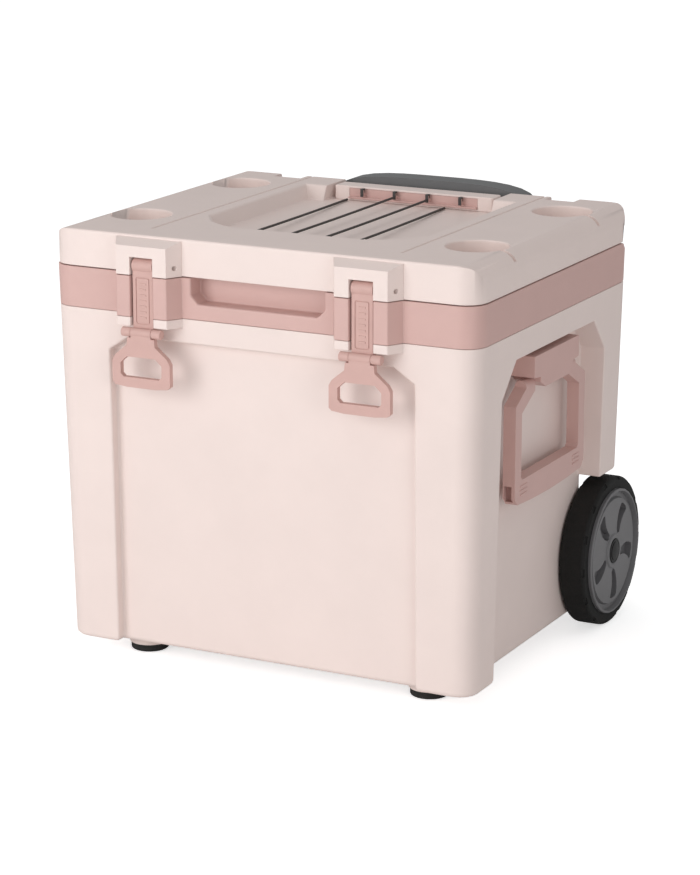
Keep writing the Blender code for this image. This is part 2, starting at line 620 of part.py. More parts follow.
def build_tub():
    """Shell, foam, liner and collar."""
    shell = rounded_block("tub_shell", half_at(TUB_TOP), GROUND_CLEARANCE, TUB_TOP, CORNER_RADIUS, TAPER)
    cut(shell, front_cutter("shell_front", 0.0), *side_cutters("shell", 0.0))
    cut(shell, tub_cavity("shell_cavity", SHELL_WALL, GROUND_CLEARANCE + SHELL_WALL, TUB_TOP + 5 * MM))
    for side, sign in SIDES:
        tip = lug(f"lug_tip_{side}", sign, LUG_BOTTOM, TUB_TOP, -HALF_DEPTH + 2.2 * MM)
        cut(tip, channel(f"lug_tip_slot_{side}", sign, LUG_BOTTOM - 10 * MM, TUB_TOP + 10 * MM))
        join(shell, tip)
        foot_x = sign * (HALF_WIDTH - FOOT_SIDE_INSET)
        boss_low = PAD_HEIGHT + GAP
        boss_high = GROUND_CLEARANCE + SHELL_WALL / 2
        boss_centre = (foot_x, FOOT_FRONT_INSET - HALF_DEPTH, (boss_low + boss_high) / 2)
        join(shell, rod(f"foot_boss_{side}", boss_centre, (0, 0, 1), FOOT_RADIUS, boss_high - boss_low, 24))
    axle_hole = rod("shell_axle_hole", (0, WHEEL_Y, WHEEL_Z), (1, 0, 0), AXLE_RADIUS + RUNNING,
                    2 * SPINE_HALF + 20 * MM, 20)
    drain_hole = rod("shell_drain_hole", (-SIDE_FLOOR, DRAIN_Y, DRAIN_HEIGHT), (1, 0, 0), DRAIN_RADIUS + GAP,
                     20 * MM, 24)
    cut(shell, axle_hole, drain_hole)
    finish(shell, CREAM, 0.45)

    inset = SHELL_WALL + GAP
    foam = tub_cavity("tub_foam", inset, GROUND_CLEARANCE + inset, COLLAR_BOTTOM - 3 * MM)
    flange_bottom = FLANGE_TOP - FLANGE_THICKNESS
    neck_half = (HOLE_X - GAP, HOLE_Y - GAP)
    join(foam, rounded_block("foam_neck", neck_half, COLLAR_BOTTOM - 10 * MM, flange_bottom - GAP,
                             HOLE_RADIUS))
    cut(foam, liner_solid("foam_liner_space", GAP, RIM_HEIGHT + 30 * MM))
    cut(foam, rod("foam_axle_hole", (0, WHEEL_Y, WHEEL_Z), (1, 0, 0), AXLE_RADIUS + 1 * MM,
                  2 * SPINE_HALF, 20))
    drain_middle = (LINER_SIDE_MARGIN / 2 - SIDE_FLOOR, DRAIN_Y, DRAIN_HEIGHT)
    cut(foam, rod("foam_drain_hole", drain_middle, (1, 0, 0), DRAIN_RADIUS + GAP,
                  LINER_SIDE_MARGIN + 20 * MM, 24))
    finish(foam, FOAM, 0.9)

    liner = liner_solid("tub_liner", 0.0, RIM_HEIGHT + 30 * MM)
    cut(liner, box("liner_trim", (-HALF_WIDTH, -HALF_DEPTH, FLANGE_TOP - 1 * MM),
                   (HALF_WIDTH, HALF_DEPTH, RIM_HEIGHT + 50 * MM)))
    flange_half = (HOLE_X - GAP, HOLE_Y - GAP)
    join(liner, rounded_block("liner_flange", flange_half, flange_bottom, FLANGE_TOP, HOLE_RADIUS))
    cut(liner, liner_solid("liner_inside", -LINER_WALL, RIM_HEIGHT + 40 * MM))
    cut(liner, rod("liner_drain_hole", (-LINER_X, DRAIN_Y, DRAIN_HEIGHT), (1, 0, 0), DRAIN_BORE, 20 * MM, 24))
    finish(liner, WHITE, 0.35)

    collar = rounded_block("collar", (HALF_WIDTH, HALF_DEPTH), COLLAR_BOTTOM, RIM_HEIGHT, CORNER_RADIUS,
                           TAPER)
    cut(collar, rounded_block("collar_hole", (HOLE_X, HOLE_Y), COLLAR_BOTTOM - 10 * MM,
                              RIM_HEIGHT + 10 * MM, HOLE_RADIUS))
    for side, sign in SIDES:
        ear = lug(f"lug_{side}", sign, COLLAR_BOTTOM, RIM_HEIGHT, -HALF_DEPTH + 5 * MM)
        cut(ear, channel(f"lug_slot_{side}", sign, COLLAR_BOTTOM - 10 * MM, RIM_HEIGHT + 10 * MM))
        join(collar, ear)
    half = POCKET_WIDTH / 2
    bottom = RIM_HEIGHT - POCKET_HEIGHT
    pocket = mirrored([(half - POCKET_CHAMFER, bottom), (half, bottom + POCKET_CHAMFER),
                       (half, RIM_HEIGHT + 10 * MM)])
    cut(collar, plate("finger_pocket", [pocket], "Y", -HALF_DEPTH - 10 * MM, -HALF_DEPTH + POCKET_DEPTH))
    corner_front = HALF_DEPTH - REAR_CORNER_DEPTH
    corner_low = RIM_HEIGHT - REAR_CORNER_DROP
    above = RIM_HEIGHT + 10 * MM
    beyond = HALF_DEPTH + 10 * MM
    fall = [(corner_front, RIM_HEIGHT), (HALF_DEPTH, corner_low), (beyond, corner_low)]
    fall += [(beyond, above), (corner_front, above)]
    for side, sign in SIDES:
        low, high = sorted((sign * (HALF_WIDTH - REAR_CORNER_WIDTH), sign * (HALF_WIDTH + 10 * MM)))
        cut(collar, plate(f"collar_corner_{side}", [fall], "X", low, high))
    finish(collar, PINK, 0.45)

    for side, sign in SIDES:
        foot_x = sign * (HALF_WIDTH - FOOT_SIDE_INSET)
        profile = [(0.0, PAD_HEIGHT), (FOOT_RADIUS - 2 * MM, PAD_HEIGHT), (FOOT_RADIUS - 2 * MM, 1.5 * MM)]
        profile += [(FOOT_RADIUS - 4 * MM, 0.0), (0.0, 0.0)]
        pad = turned(f"foot_{side}", profile, (foot_x, FOOT_FRONT_INSET - HALF_DEPTH, 0), (0, 0, 1), 24)
        finish(smooth(pad), RUBBER_BLACK, 0.8)


# ---------------------------------------------------------------- lid

def tray_cutter(name, grow):
    """The tray sunk in the lid, with sloping walls and cut front corners, and the notch behind it."""
    half = TRAY_X + grow
    front = TRAY_FRONT - grow
    rear = TRAY_REAR + grow
    corner = TRAY_CORNER
    bulge = 0.2 * corner
    half_outline = [(half - corner, front), (half - bulge * 2, front + bulge * 2), (half, front + corner)]
    half_outline += [(half, rear)]
    tray = plate(name, [mirrored(half_outline)], "Z", TRAY_FLOOR - grow, LID_TOP + 20 * MM)
    run = (TRAY_DEPTH + 20 * MM + grow) / TRAY_DEPTH * TRAY_SLOPE
    for vert in tray.data.vertices:
        if vert.co.z < 0:
            vert.co.x -= math.copysign(TRAY_SLOPE, vert.co.x)
            vert.co.y -= math.copysign(TRAY_SLOPE, vert.co.y)
        else:
            vert.co.x += math.copysign(run - TRAY_SLOPE, vert.co.x)
            vert.co.y += math.copysign(run - TRAY_SLOPE, vert.co.y)
    notch = box(f"{name}_notch", (-NOTCH_X - grow, TRAY_REAR - 40 * MM, TRAY_FLOOR - grow),
                (NOTCH_X + grow, HALF_DEPTH + 20 * MM, LID_TOP + 15 * MM))
    seat = box(f"{name}_seat", (-STRIP_X - GAP - grow, TRAY_FRONT - GAP - grow, TRAY_FLOOR + 2 * MM - grow),
               (STRIP_X + GAP + grow, TRAY_FRONT + 20 * MM, LID_TOP + 10 * MM))
    return [tray, notch, seat]


def cup_cutters(name, grow):
    """The four cup holders and their drain slots."""
    cutters = []
    for side, sign in SIDES:
        for place_name, y in (("front", CUP_FRONT_Y), ("rear", CUP_REAR_Y)):
            low = LID_TOP - CUP_DEPTH - grow
            high = LID_TOP + 20 * MM
            cutters.append(rod(f"{name}_{place_name}_{side}", (sign * CUP_X, y, (low + high) / 2), (0, 0, 1),
                               CUP_RADIUS + grow, high - low, 28))
            slot_y = y - DRAIN_SLOT_OFFSET
            x_low, x_high = sorted((sign * CUP_X, sign * (HALF_WIDTH + 10 * MM)))
            width = DRAIN_SLOT_WIDTH / 2 + grow
            cutters.append(box(f"{name}_slot_{place_name}_{side}",
                               (x_low, slot_y - width, LID_TOP - DRAIN_SLOT_DEPTH - grow),
                               (x_high, slot_y + width, LID_TOP + 12 * MM)))
    return cutters


def round_sides(block, half_x, top, radius):
    """Round a lid block's two long top edges, from front to back."""
    quarter = arc((half_x - radius, top - radius), radius, 0, 90, LID_SIDE_STEPS)
    outline = mirrored([(half_x, LID_BOTTOM - 30 * MM)] + quarter)
    profile = plate(f"{block.name}_profile", [outline], "Y", -HALF_DEPTH - 10 * MM, HALF_DEPTH + 10 * MM)
    return combine(block, profile, "INTERSECT")


def build_lid_lugs():
    """The latch lugs on the lid's front, whose tops slope down from the lid's own top edge."""
    front_height = LID_BOTTOM + LUG_TOP_HEIGHT
    back = -LID_Y - GAP
    slope = (LID_TOP - LID_EDGE_RADIUS - front_height) / (back - LUG_FRONT)
    slot_top = LATCH_PIN_Z + BARREL_RADIUS + 2 * MM
    pieces = []
    for side, sign in SIDES:
        piece = lug(f"lid_lug_{side}", sign, LID_BOTTOM, front_height, back)
        for vert in piece.data.vertices:
            if vert.co.z > 0:
                vert.co.z += slope * (vert.co.y - LUG_FRONT)
        cut(piece, channel(f"lid_slot_{side}", sign, LID_BOTTOM - 5 * MM, slot_top))
        cut(piece, rod(f"lid_pin_hole_{side}", (sign * LATCH_X, LATCH_PIN_Y, LATCH_PIN_Z), (1, 0, 0),
                       LATCH_PIN_RADIUS + RUNNING, LUG_BASE_WIDTH + 10 * MM, 16))
        pieces.append(finish(piece, CREAM, 0.45))
    return pieces


def lid_space(name, clearance, floor):
    """The hollow in the lid, less what the tray and the cups push down."""
    half_x = LID_X - LID_SIDE_WALL - clearance
    front = -LID_Y + LID_FRONT_WALL + clearance
    rear = LID_Y - LID_REAR_WALL - clearance
    top = LID_TOP - LID_WALL - clearance
    space = rounded_block(name, (half_x, (rear - front) / 2), floor, top, HOLE_RADIUS,
                          y_shift=(rear + front) / 2)
    round_sides(space, half_x, top, LID_SIDE_RADIUS - LID_SIDE_WALL - clearance)
    grow = LID_WALL + clearance
    return cut(space, *tray_cutter(f"{name}_tray", grow), *cup_cutters(f"{name}_cup", grow))


def build_lid():
    """Lid shell, foam, liner and gasket."""
    shell = rounded_block("lid_shell", (LID_X, LID_Y), LID_BOTTOM, LID_TOP, CORNER_RADIUS,
                          top_radius=LID_EDGE_RADIUS)
    round_sides(shell, LID_X, LID_TOP, LID_SIDE_RADIUS)
    cut(shell, *tray_cutter("tray", 0.0), *cup_cutters("cup", 0.0))
    cut(shell, lid_space("lid_hollow", 0.0, LID_BOTTOM - 5 * MM))
    cut(shell, box("lid_relief", (-HALF_WIDTH, LID_Y - LID_RELIEF_DEPTH, LID_BOTTOM - 5 * MM),
                   (HALF_WIDTH, LID_Y + 10 * MM, LID_BOTTOM + LID_RELIEF_HEIGHT)))
    for side, sign in SIDES:
        low, high = sorted((sign * (HALF_WIDTH - REAR_CORNER_WIDTH), sign * (HALF_WIDTH + 10 * MM)))
        cut(shell, box(f"lid_corner_{side}", (low, HALF_DEPTH - REAR_CORNER_DEPTH, LID_BOTTOM - 5 * MM),
                       (high, HALF_DEPTH + 10 * MM, LID_BOTTOM + LID_RELIEF_HEIGHT)))
        groove_x = sign * (TRAY_X + GROOVE_OFFSET)
        cut(shell, box(f"groove_{side}",
                       (groove_x - GROOVE_WIDTH / 2, GROOVE_FRONT_INSET - LID_Y, LID_TOP - GROOVE_DEPTH),
                       (groove_x + GROOVE_WIDTH / 2, LID_Y + 5 * MM, LID_TOP + 5 * MM)))
        half = HINGE_WIDTH / 2 + NOTCH_SIDE_GAP
        cut(shell, box(f"hinge_notch_{side}",
                       (sign * HINGE_X - half, HINGE_Y - NOTCH_DEPTH, LID_BOTTOM - 5 * MM),
                       (sign * HINGE_X + half, LID_Y + 10 * MM, LID_TOP + 5 * MM)))
        cut(shell, rod(f"hinge_hole_{side}", (sign * HINGE_X, HINGE_Y, HINGE_Z), (1, 0, 0),
                       HINGE_PIN_RADIUS + RUNNING, HINGE_WIDTH + 2 * HINGE_PIN_REACH + 1 * MM, 16))
    finish(smooth(shell), CREAM, 0.45)

    plate_low = LID_BOTTOM + GAP
    plate_high = plate_low + FLANGE_THICKNESS
    plug_low = plate_low - PLUG_DEPTH
    plug_half = (LINER_X - LINER_WALL - PLUG_MARGIN, LINER_Y - LINER_WALL - PLUG_MARGIN)
    foam = lid_space("lid_foam", GAP, plate_high + GAP)
    core_half = (plug_half[0] - LINER_WALL - GAP, plug_half[1] - LINER_WALL - GAP)
    join(foam, rounded_block("foam_core", core_half, plug_low + LINER_WALL + GAP, plate_high + 8 * MM,
                             LINER_RADIUS - LINER_WALL))
    finish(foam, FOAM, 0.9)

    front = -LID_Y + LID_FRONT_WALL + GAP
    rear = LID_Y - LID_REAR_WALL - GAP
    liner_half = (LID_X - LID_SIDE_WALL - GAP, (rear - front) / 2)
    liner = rounded_block("lid_liner", liner_half, plate_low, plate_high, HOLE_RADIUS,
                          y_shift=(rear + front) / 2)
    join(liner, rounded_block("lid_plug", plug_half, plug_low, plate_high - 1 * MM, LINER_RADIUS))
    cut(liner, rounded_block("lid_plug_inside", (plug_half[0] - LINER_WALL, plug_half[1] - LINER_WALL),
                             plug_low + LINER_WALL, plate_high + 5 * MM, LINER_RADIUS - LINER_WALL))
    finish(liner, WHITE, 0.35)

    seal_out = (HOLE_X - 20 * MM, HOLE_Y - 2.5 * MM)
    seal_in = (seal_out[0] - GASKET_WIDTH, seal_out[1] - GASKET_WIDTH)
    seal_low = FLANGE_TOP + GAP
    gasket = rounded_block("lid_gasket", seal_out, seal_low, LID_BOTTOM, HOLE_RADIUS)
    cut(gasket, rounded_block("gasket_inside", seal_in, seal_low - 5 * MM, LID_BOTTOM + 5 * MM,
                              HOLE_RADIUS - GASKET_WIDTH))
    finish(gasket, CHARCOAL, 0.8)
    return [shell, foam, liner, gasket]


def hook_places():
    """Where the hooks stand along a strip."""
    return [(index - (HOOK_COUNT - 1) / 2) * HOOK_SPACING for index in range(HOOK_COUNT)]


def hooks(strip, name, root_y, sign, z):
    """Add upturned hooks to a strip. sign is the way that they point along Y."""
    half = HOOK_WIDTH / 2
    for index, x in enumerate(hook_places()):
        y_low, y_high = sorted((root_y - sign * 1 * MM, root_y + sign * HOOK_REACH))
        tip_low, tip_high = sorted((root_y + sign * (HOOK_REACH - 2.5 * MM), root_y + sign * HOOK_REACH))
        join(strip, box(f"{name}_arm_{index}", (x - half, y_low, z), (x + half, y_high, z + 3 * MM)))
        join(strip, box(f"{name}_tip_{index}", (x - half, tip_low, z + 1 * MM),
                        (x + half, tip_high, z + 8 * MM)))
    return strip


def build_tray_fittings():
    """Hook block, the two hook strips and the elastic cords."""
    top = LID_TOP - GAP
    floor = TRAY_FLOOR + GAP
    block = box("hook_block", (-BLOCK_X, BLOCK_FRONT, floor), (BLOCK_X, BLOCK_REAR, top))
    cut(block, box("block_pocket", (-STRIP_X - GAP, BLOCK_FRONT - 5 * MM, floor + 2.5 * MM),
                   (STRIP_X + GAP, BLOCK_FRONT + STRIP_DEPTH + GAP, top - 2.5 * MM)))
    finish(block, CREAM, 0.45)

    rear_strip = box("rear_hook_strip", (-STRIP_X, BLOCK_FRONT + 0.5 * MM, floor + 2.8 * MM),
                     (STRIP_X, BLOCK_FRONT + STRIP_DEPTH, top - 2.8 * MM))
    ledge = box("rear_ledge", (-STRIP_X, BLOCK_FRONT - 4 * MM, floor + 2.8 * MM),
                (STRIP_X, BLOCK_FRONT + 2 * MM, floor + 5.3 * MM))
    join(rear_strip, ledge)
    hooks(rear_strip, "rear_hook", BLOCK_FRONT + 0.5 * MM, -1, floor + 8 * MM)
    finish(rear_strip, PINK, 0.45)

    front_strip = box("front_hook_strip", (-STRIP_X, TRAY_FRONT, TRAY_FLOOR + 2.3 * MM),
                      (STRIP_X, TRAY_FRONT + STRIP_DEPTH, LID_TOP - 4.8 * MM))
    hooks(front_strip, "front_hook", TRAY_FRONT + STRIP_DEPTH, 1, TRAY_FLOOR + 5 * MM)
    finish(front_strip, PINK, 0.45)

    pieces = [block, rear_strip, front_strip]
    front_y = TRAY_FRONT + STRIP_DEPTH + HOOK_REACH + GAP
    rear_y = BLOCK_FRONT + 0.5 * MM - HOOK_REACH - GAP
    for index, x in enumerate(hook_places()):
        on_hook = index in (1, 2)
        lean = 0.0 if on_hook else CORD_LEAN
        rear_z = TRAY_FLOOR + (CORD_HEIGHT if on_hook else CORD_RADIUS + GAP)
        start = Vector((x, front_y, TRAY_FLOOR + CORD_HEIGHT))
        end = Vector((x - lean, rear_y, rear_z))
        curve = bpy.data.curves.new(f"cord_{index + 1}", "CURVE")
        curve.dimensions = "3D"
        curve.bevel_depth = CORD_RADIUS
        curve.bevel_resolution = 2
        curve.use_fill_caps = True
        spline = curve.splines.new("POLY")
        spline.points.add(7)
        for step, point in enumerate(spline.points):
            along = start.lerp(end, step / 7)
            point.co = (*along, 1)
        cord = bpy.data.objects.new(f"cord_{index + 1}", curve)
        PARTS.objects.link(cord)
        cord = as_mesh(cord)
        pieces.append(finish(cord, CHARCOAL, 0.8))
    return pieces


# ---------------------------------------------------------------- hinges

def build_hinges():
    """Brackets on the collar, with the pins that the lid turns on."""
    front = HINGE_Y - HINGE_RADIUS
    back = HALF_DEPTH + 5 * MM
    face = HALF_DEPTH + GAP
    foot = RIM_HEIGHT + GAP
    outline = arc((HINGE_Y, HINGE_Z), HINGE_RADIUS, 30, 180, 8)
    outline += [(front, foot), (face, foot), (face, RIM_HEIGHT - HINGE_LEG), (back, RIM_HEIGHT - HINGE_LEG)]
    outline += [(back, HINGE_Z - 18 * MM)]
    for side, sign in SIDES:
        x = sign * HINGE_X
        bracket = plate(f"hinge_bracket_{side}", [outline], "X", x - HINGE_WIDTH / 2, x + HINGE_WIDTH / 2)
        cut(bracket, rod(f"bracket_hole_{side}", (x, HINGE_Y, HINGE_Z), (1, 0, 0), HINGE_PIN_RADIUS + RUNNING,
                         HINGE_WIDTH + 10 * MM, 16))
        finish(smooth(bracket), PINK, 0.45)
        pin = rod(f"hinge_pin_{side}", (x, HINGE_Y, HINGE_Z), (1, 0, 0), HINGE_PIN_RADIUS,
                  HINGE_WIDTH + 2 * HINGE_PIN_REACH - 1 * MM, 16)
        finish(smooth(pin), STEEL, 0.3, 1.0)


# ---------------------------------------------------------------- latches

def groove_loop(middle, half, low, high, radius):
    """An upright rounded oblong, as (x, z) points."""
    right, left = middle + half - radius, middle - half + radius
    points = arc((right, high - radius), radius, 0, 90, 2) + arc((left, high - radius), radius, 90, 180, 2)
    points += arc((left, low + radius), radius, 180, 270, 2) + arc((right, low + radius), radius, 270, 360, 2)
    return points


def build_latch(side, sign):
    """One rubber T-latch with its crossbar and hinge pin."""
    x = sign * LATCH_X
    half = LATCH_WIDTH / 2
    strap_front = LATCH_PIN_Y - BARREL_RADIUS + STRAP_SETBACK
    latch = box(f"latch_{side}", (x - half, strap_front, ROLL_Z),
                (x + half, strap_front + STRAP_THICKNESS, LATCH_PIN_Z))
    join(latch, rod(f"latch_barrel_{side}", (x, LATCH_PIN_Y, LATCH_PIN_Z), (1, 0, 0), BARREL_RADIUS,
                    LATCH_WIDTH, 24))
    join(latch, rod(f"latch_roll_{side}", (x, ROLL_Y, ROLL_Z), (1, 0, 0), ROLL_RADIUS, LATCH_WIDTH, 24))
    pull_front = LUG_FRONT - PULL_PROUD
    pull_back = pull_front + PULL_THICKNESS
    neck_top = ROLL_Z - ROLL_RADIUS - 5 * MM
    under_roll = ROLL_Z - ROLL_RADIUS - GAP
    neck = NECK_WIDTH / 2
    wide = PULL_WIDTH / 2
    bottom = neck_top - PULL_LENGTH
    shoulder = neck_top - 23 * MM
    outer = [(half, ROLL_Z), (half, under_roll), (neck, under_roll), (neck + 1 * MM, neck_top - 5 * MM)]
    outer += [(wide - 4 * MM, shoulder + 4 * MM)]
    outer += [(wide, shoulder - 3 * MM), (wide, bottom + 6 * MM), (wide - 4 * MM, bottom + 2.5 * MM)]
    outer += [(wide / 2, bottom + 0.6 * MM)]
    hole_half = wide - PULL_SIDE_BAND
    hole_low = bottom + PULL_BAND
    hole_high = shoulder + 3 * MM
    inner = [(hole_half - 9 * MM, hole_high), (hole_half, hole_high - 8 * MM), (hole_half, hole_low + 4 * MM)]
    inner += [(hole_half - 4 * MM, hole_low)]
    loops = [mirrored(outer), mirrored(inner)]
    shifted = [[(px + x, pz) for px, pz in loop] for loop in loops]
    join(latch, plate(f"latch_pull_{side}", shifted, "Y", pull_front, pull_back))
    low = ROLL_Z + ROLL_RADIUS + STRAP_GROOVE_MARGIN
    high = LATCH_PIN_Z - BARREL_RADIUS - STRAP_GROOVE_MARGIN
    loops = [groove_loop(x, half - STRAP_GROOVE_MARGIN, low, high, 3 * MM),
             groove_loop(x, half - STRAP_GROOVE_MARGIN - STRAP_GROOVE, low + STRAP_GROOVE,
                         high - STRAP_GROOVE, 1.5 * MM)]
    cut(latch, plate(f"latch_groove_{side}", loops, "Y", strap_front - 5 * MM,
                     strap_front + STRAP_GROOVE_DEPTH))
    cut(latch, rod(f"latch_bore_{side}", (x, LATCH_PIN_Y, LATCH_PIN_Z), (1, 0, 0), LATCH_PIN_RADIUS + RUNNING,
                   LATCH_WIDTH + 10 * MM, 16))
    cut(latch, rod(f"roll_bore_{side}", (x, ROLL_Y, ROLL_Z), (1, 0, 0), ROLL_CORE_RADIUS + RUNNING,
                   LATCH_WIDTH + 10 * MM, 16))
    finish(smooth(latch), PINK, 0.5)

    crossbar = rod(f"crossbar_{side}", (x, ROLL_Y, ROLL_Z), (1, 0, 0), ROLL_CORE_RADIUS,
                   ROLL_LENGTH - 4 * MM, 16)
    end_length = (ROLL_LENGTH - LATCH_WIDTH) / 2 - GAP
    for end in (-1, 1):
        centre = x + end * (ROLL_LENGTH / 2 - end_length / 2)
        join(crossbar, rod(f"roll_end_{side}_{end}", (centre, ROLL_Y, ROLL_Z), (1, 0, 0), ROLL_RADIUS,
                           end_length, 20))
    finish(smooth(crossbar), PINK, 0.5)

    pin = rod(f"latch_pin_{side}", (x, LATCH_PIN_Y, LATCH_PIN_Z), (1, 0, 0), LATCH_PIN_RADIUS,
              LUG_FRONT_WIDTH - 2 * LATCH_PIN_INSET, 16)
    finish(smooth(pin), STEEL, 0.3, 1.0)
    return latch, crossbar, pin


# ---------------------------------------------------------------- side handles

def build_side_handle(side, sign):
    """A bail handle that hangs from a bracket in the side panel."""
    outer = BAIL_WIDTH / 2
    inner = outer - BAIL_ARM
    eye_radius = BAIL_THICKNESS / 2
    bottom = BAIL_Z - BAIL_LENGTH
    shoulder = BAIL_Z - BAIL_SHOULDER_DROP
    outline = [(0.0, bottom - BAIL_BOW), (outer / 2, bottom - BAIL_BOW * 0.7), (outer - 9 * MM, bottom)]
    outline += [(outer, bottom + 9 * MM), (outer, shoulder), (BAIL_EYE_OUTER, BAIL_Z)]
    outline += [(BAIL_EYE_INNER, BAIL_Z), (BAIL_EYE_INNER, BAIL_Z - eye_radius)]
    outline += [(inner, shoulder - 12 * MM), (inner, bottom + BAIL_BAR + 4 * MM)]
    outline += [(inner - 4 * MM, bottom + BAIL_BAR), (0.0, bottom + BAIL_BAR)]
    loop = outline + [(-y, z) for y, z in reversed(outline[1:-1])]
    centre = sign * BAIL_X
    low, high = centre - BAIL_THICKNESS / 2, centre + BAIL_THICKNESS / 2
    bail = plate(f"side_handle_{side}", [loop], "X", low, high)
    for end in (-1, 1):
        y_low, y_high = sorted((end * (outer - 12 * MM), end * (outer + 5 * MM)))
        slot_low, slot_high = sorted((centre - sign * 7 * MM, centre + sign * 3.5 * MM))
        cut(bail, box(f"bail_slot_{side}_{end}", (slot_low, y_low, bottom + 4 * MM),
                      (slot_high, y_high, bottom + 25 * MM)))
        eye_y = end * (BAIL_EYE_INNER + BAIL_EYE_OUTER) / 2
        join(bail, rod(f"bail_eye_{side}_{end}", (centre, eye_y, BAIL_Z), (0, 1, 0), eye_radius,
                       BAIL_EYE_OUTER - BAIL_EYE_INNER, 24))
    bore_length = 2 * (BAIL_EYE_OUTER - BAIL_EYE_WALL)
    cut(bail, rod(f"bail_bore_{side}", (centre, 0, BAIL_Z), (0, 1, 0), BAIL_PIN_RADIUS + RUNNING,
                  bore_length, 16))
    finish(bail, PINK, 0.5)

    top = RIM_HEIGHT - BRACKET_TOP_DROP
    base = RIM_HEIGHT - BRACKET_BOTTOM_DROP
    hood = BAIL_Z + eye_radius + 1 * MM
    block_half = BAIL_EYE_INNER - 0.5 * MM
    half_outline = [(block_half - BRACKET_CORNER_RUN, base), (block_half, base + BRACKET_CORNER)]
    half_outline += [(block_half, hood), (BRACKET_WING, hood + 2 * MM), (BRACKET_WING, top)]
    floor = sign * (SIDE_FLOOR + GAP)
    low, high = sorted((floor, floor + sign * BRACKET_DEPTH))
    bracket = plate(f"side_bracket_{side}", [mirrored(half_outline)], "X", low, high)
    cut(bracket, rod(f"bracket_bore_{side}", (centre, 0, BAIL_Z), (0, 1, 0), BAIL_PIN_RADIUS + RUNNING,
                     2 * BAIL_EYE_OUTER + 20 * MM, 16))
    finish(bracket, PINK, 0.5)
    pin = rod(f"side_handle_pin_{side}", (centre, 0, BAIL_Z), (0, 1, 0), BAIL_PIN_RADIUS,
              bore_length - 2 * GAP, 16)
    finish(smooth(pin), STEEL, 0.3, 1.0)
    return bail


# ---------------------------------------------------------------- pull handle

def grip_top(x):
    """Height of the grip's arched top edge over its ends."""
    share = min(abs(x) / (TOW_GRIP_WIDTH / 2), 1.0)
    return TOW_GRIP_RISE * (1 - share ** 3.4) ** (1 / 3.4)


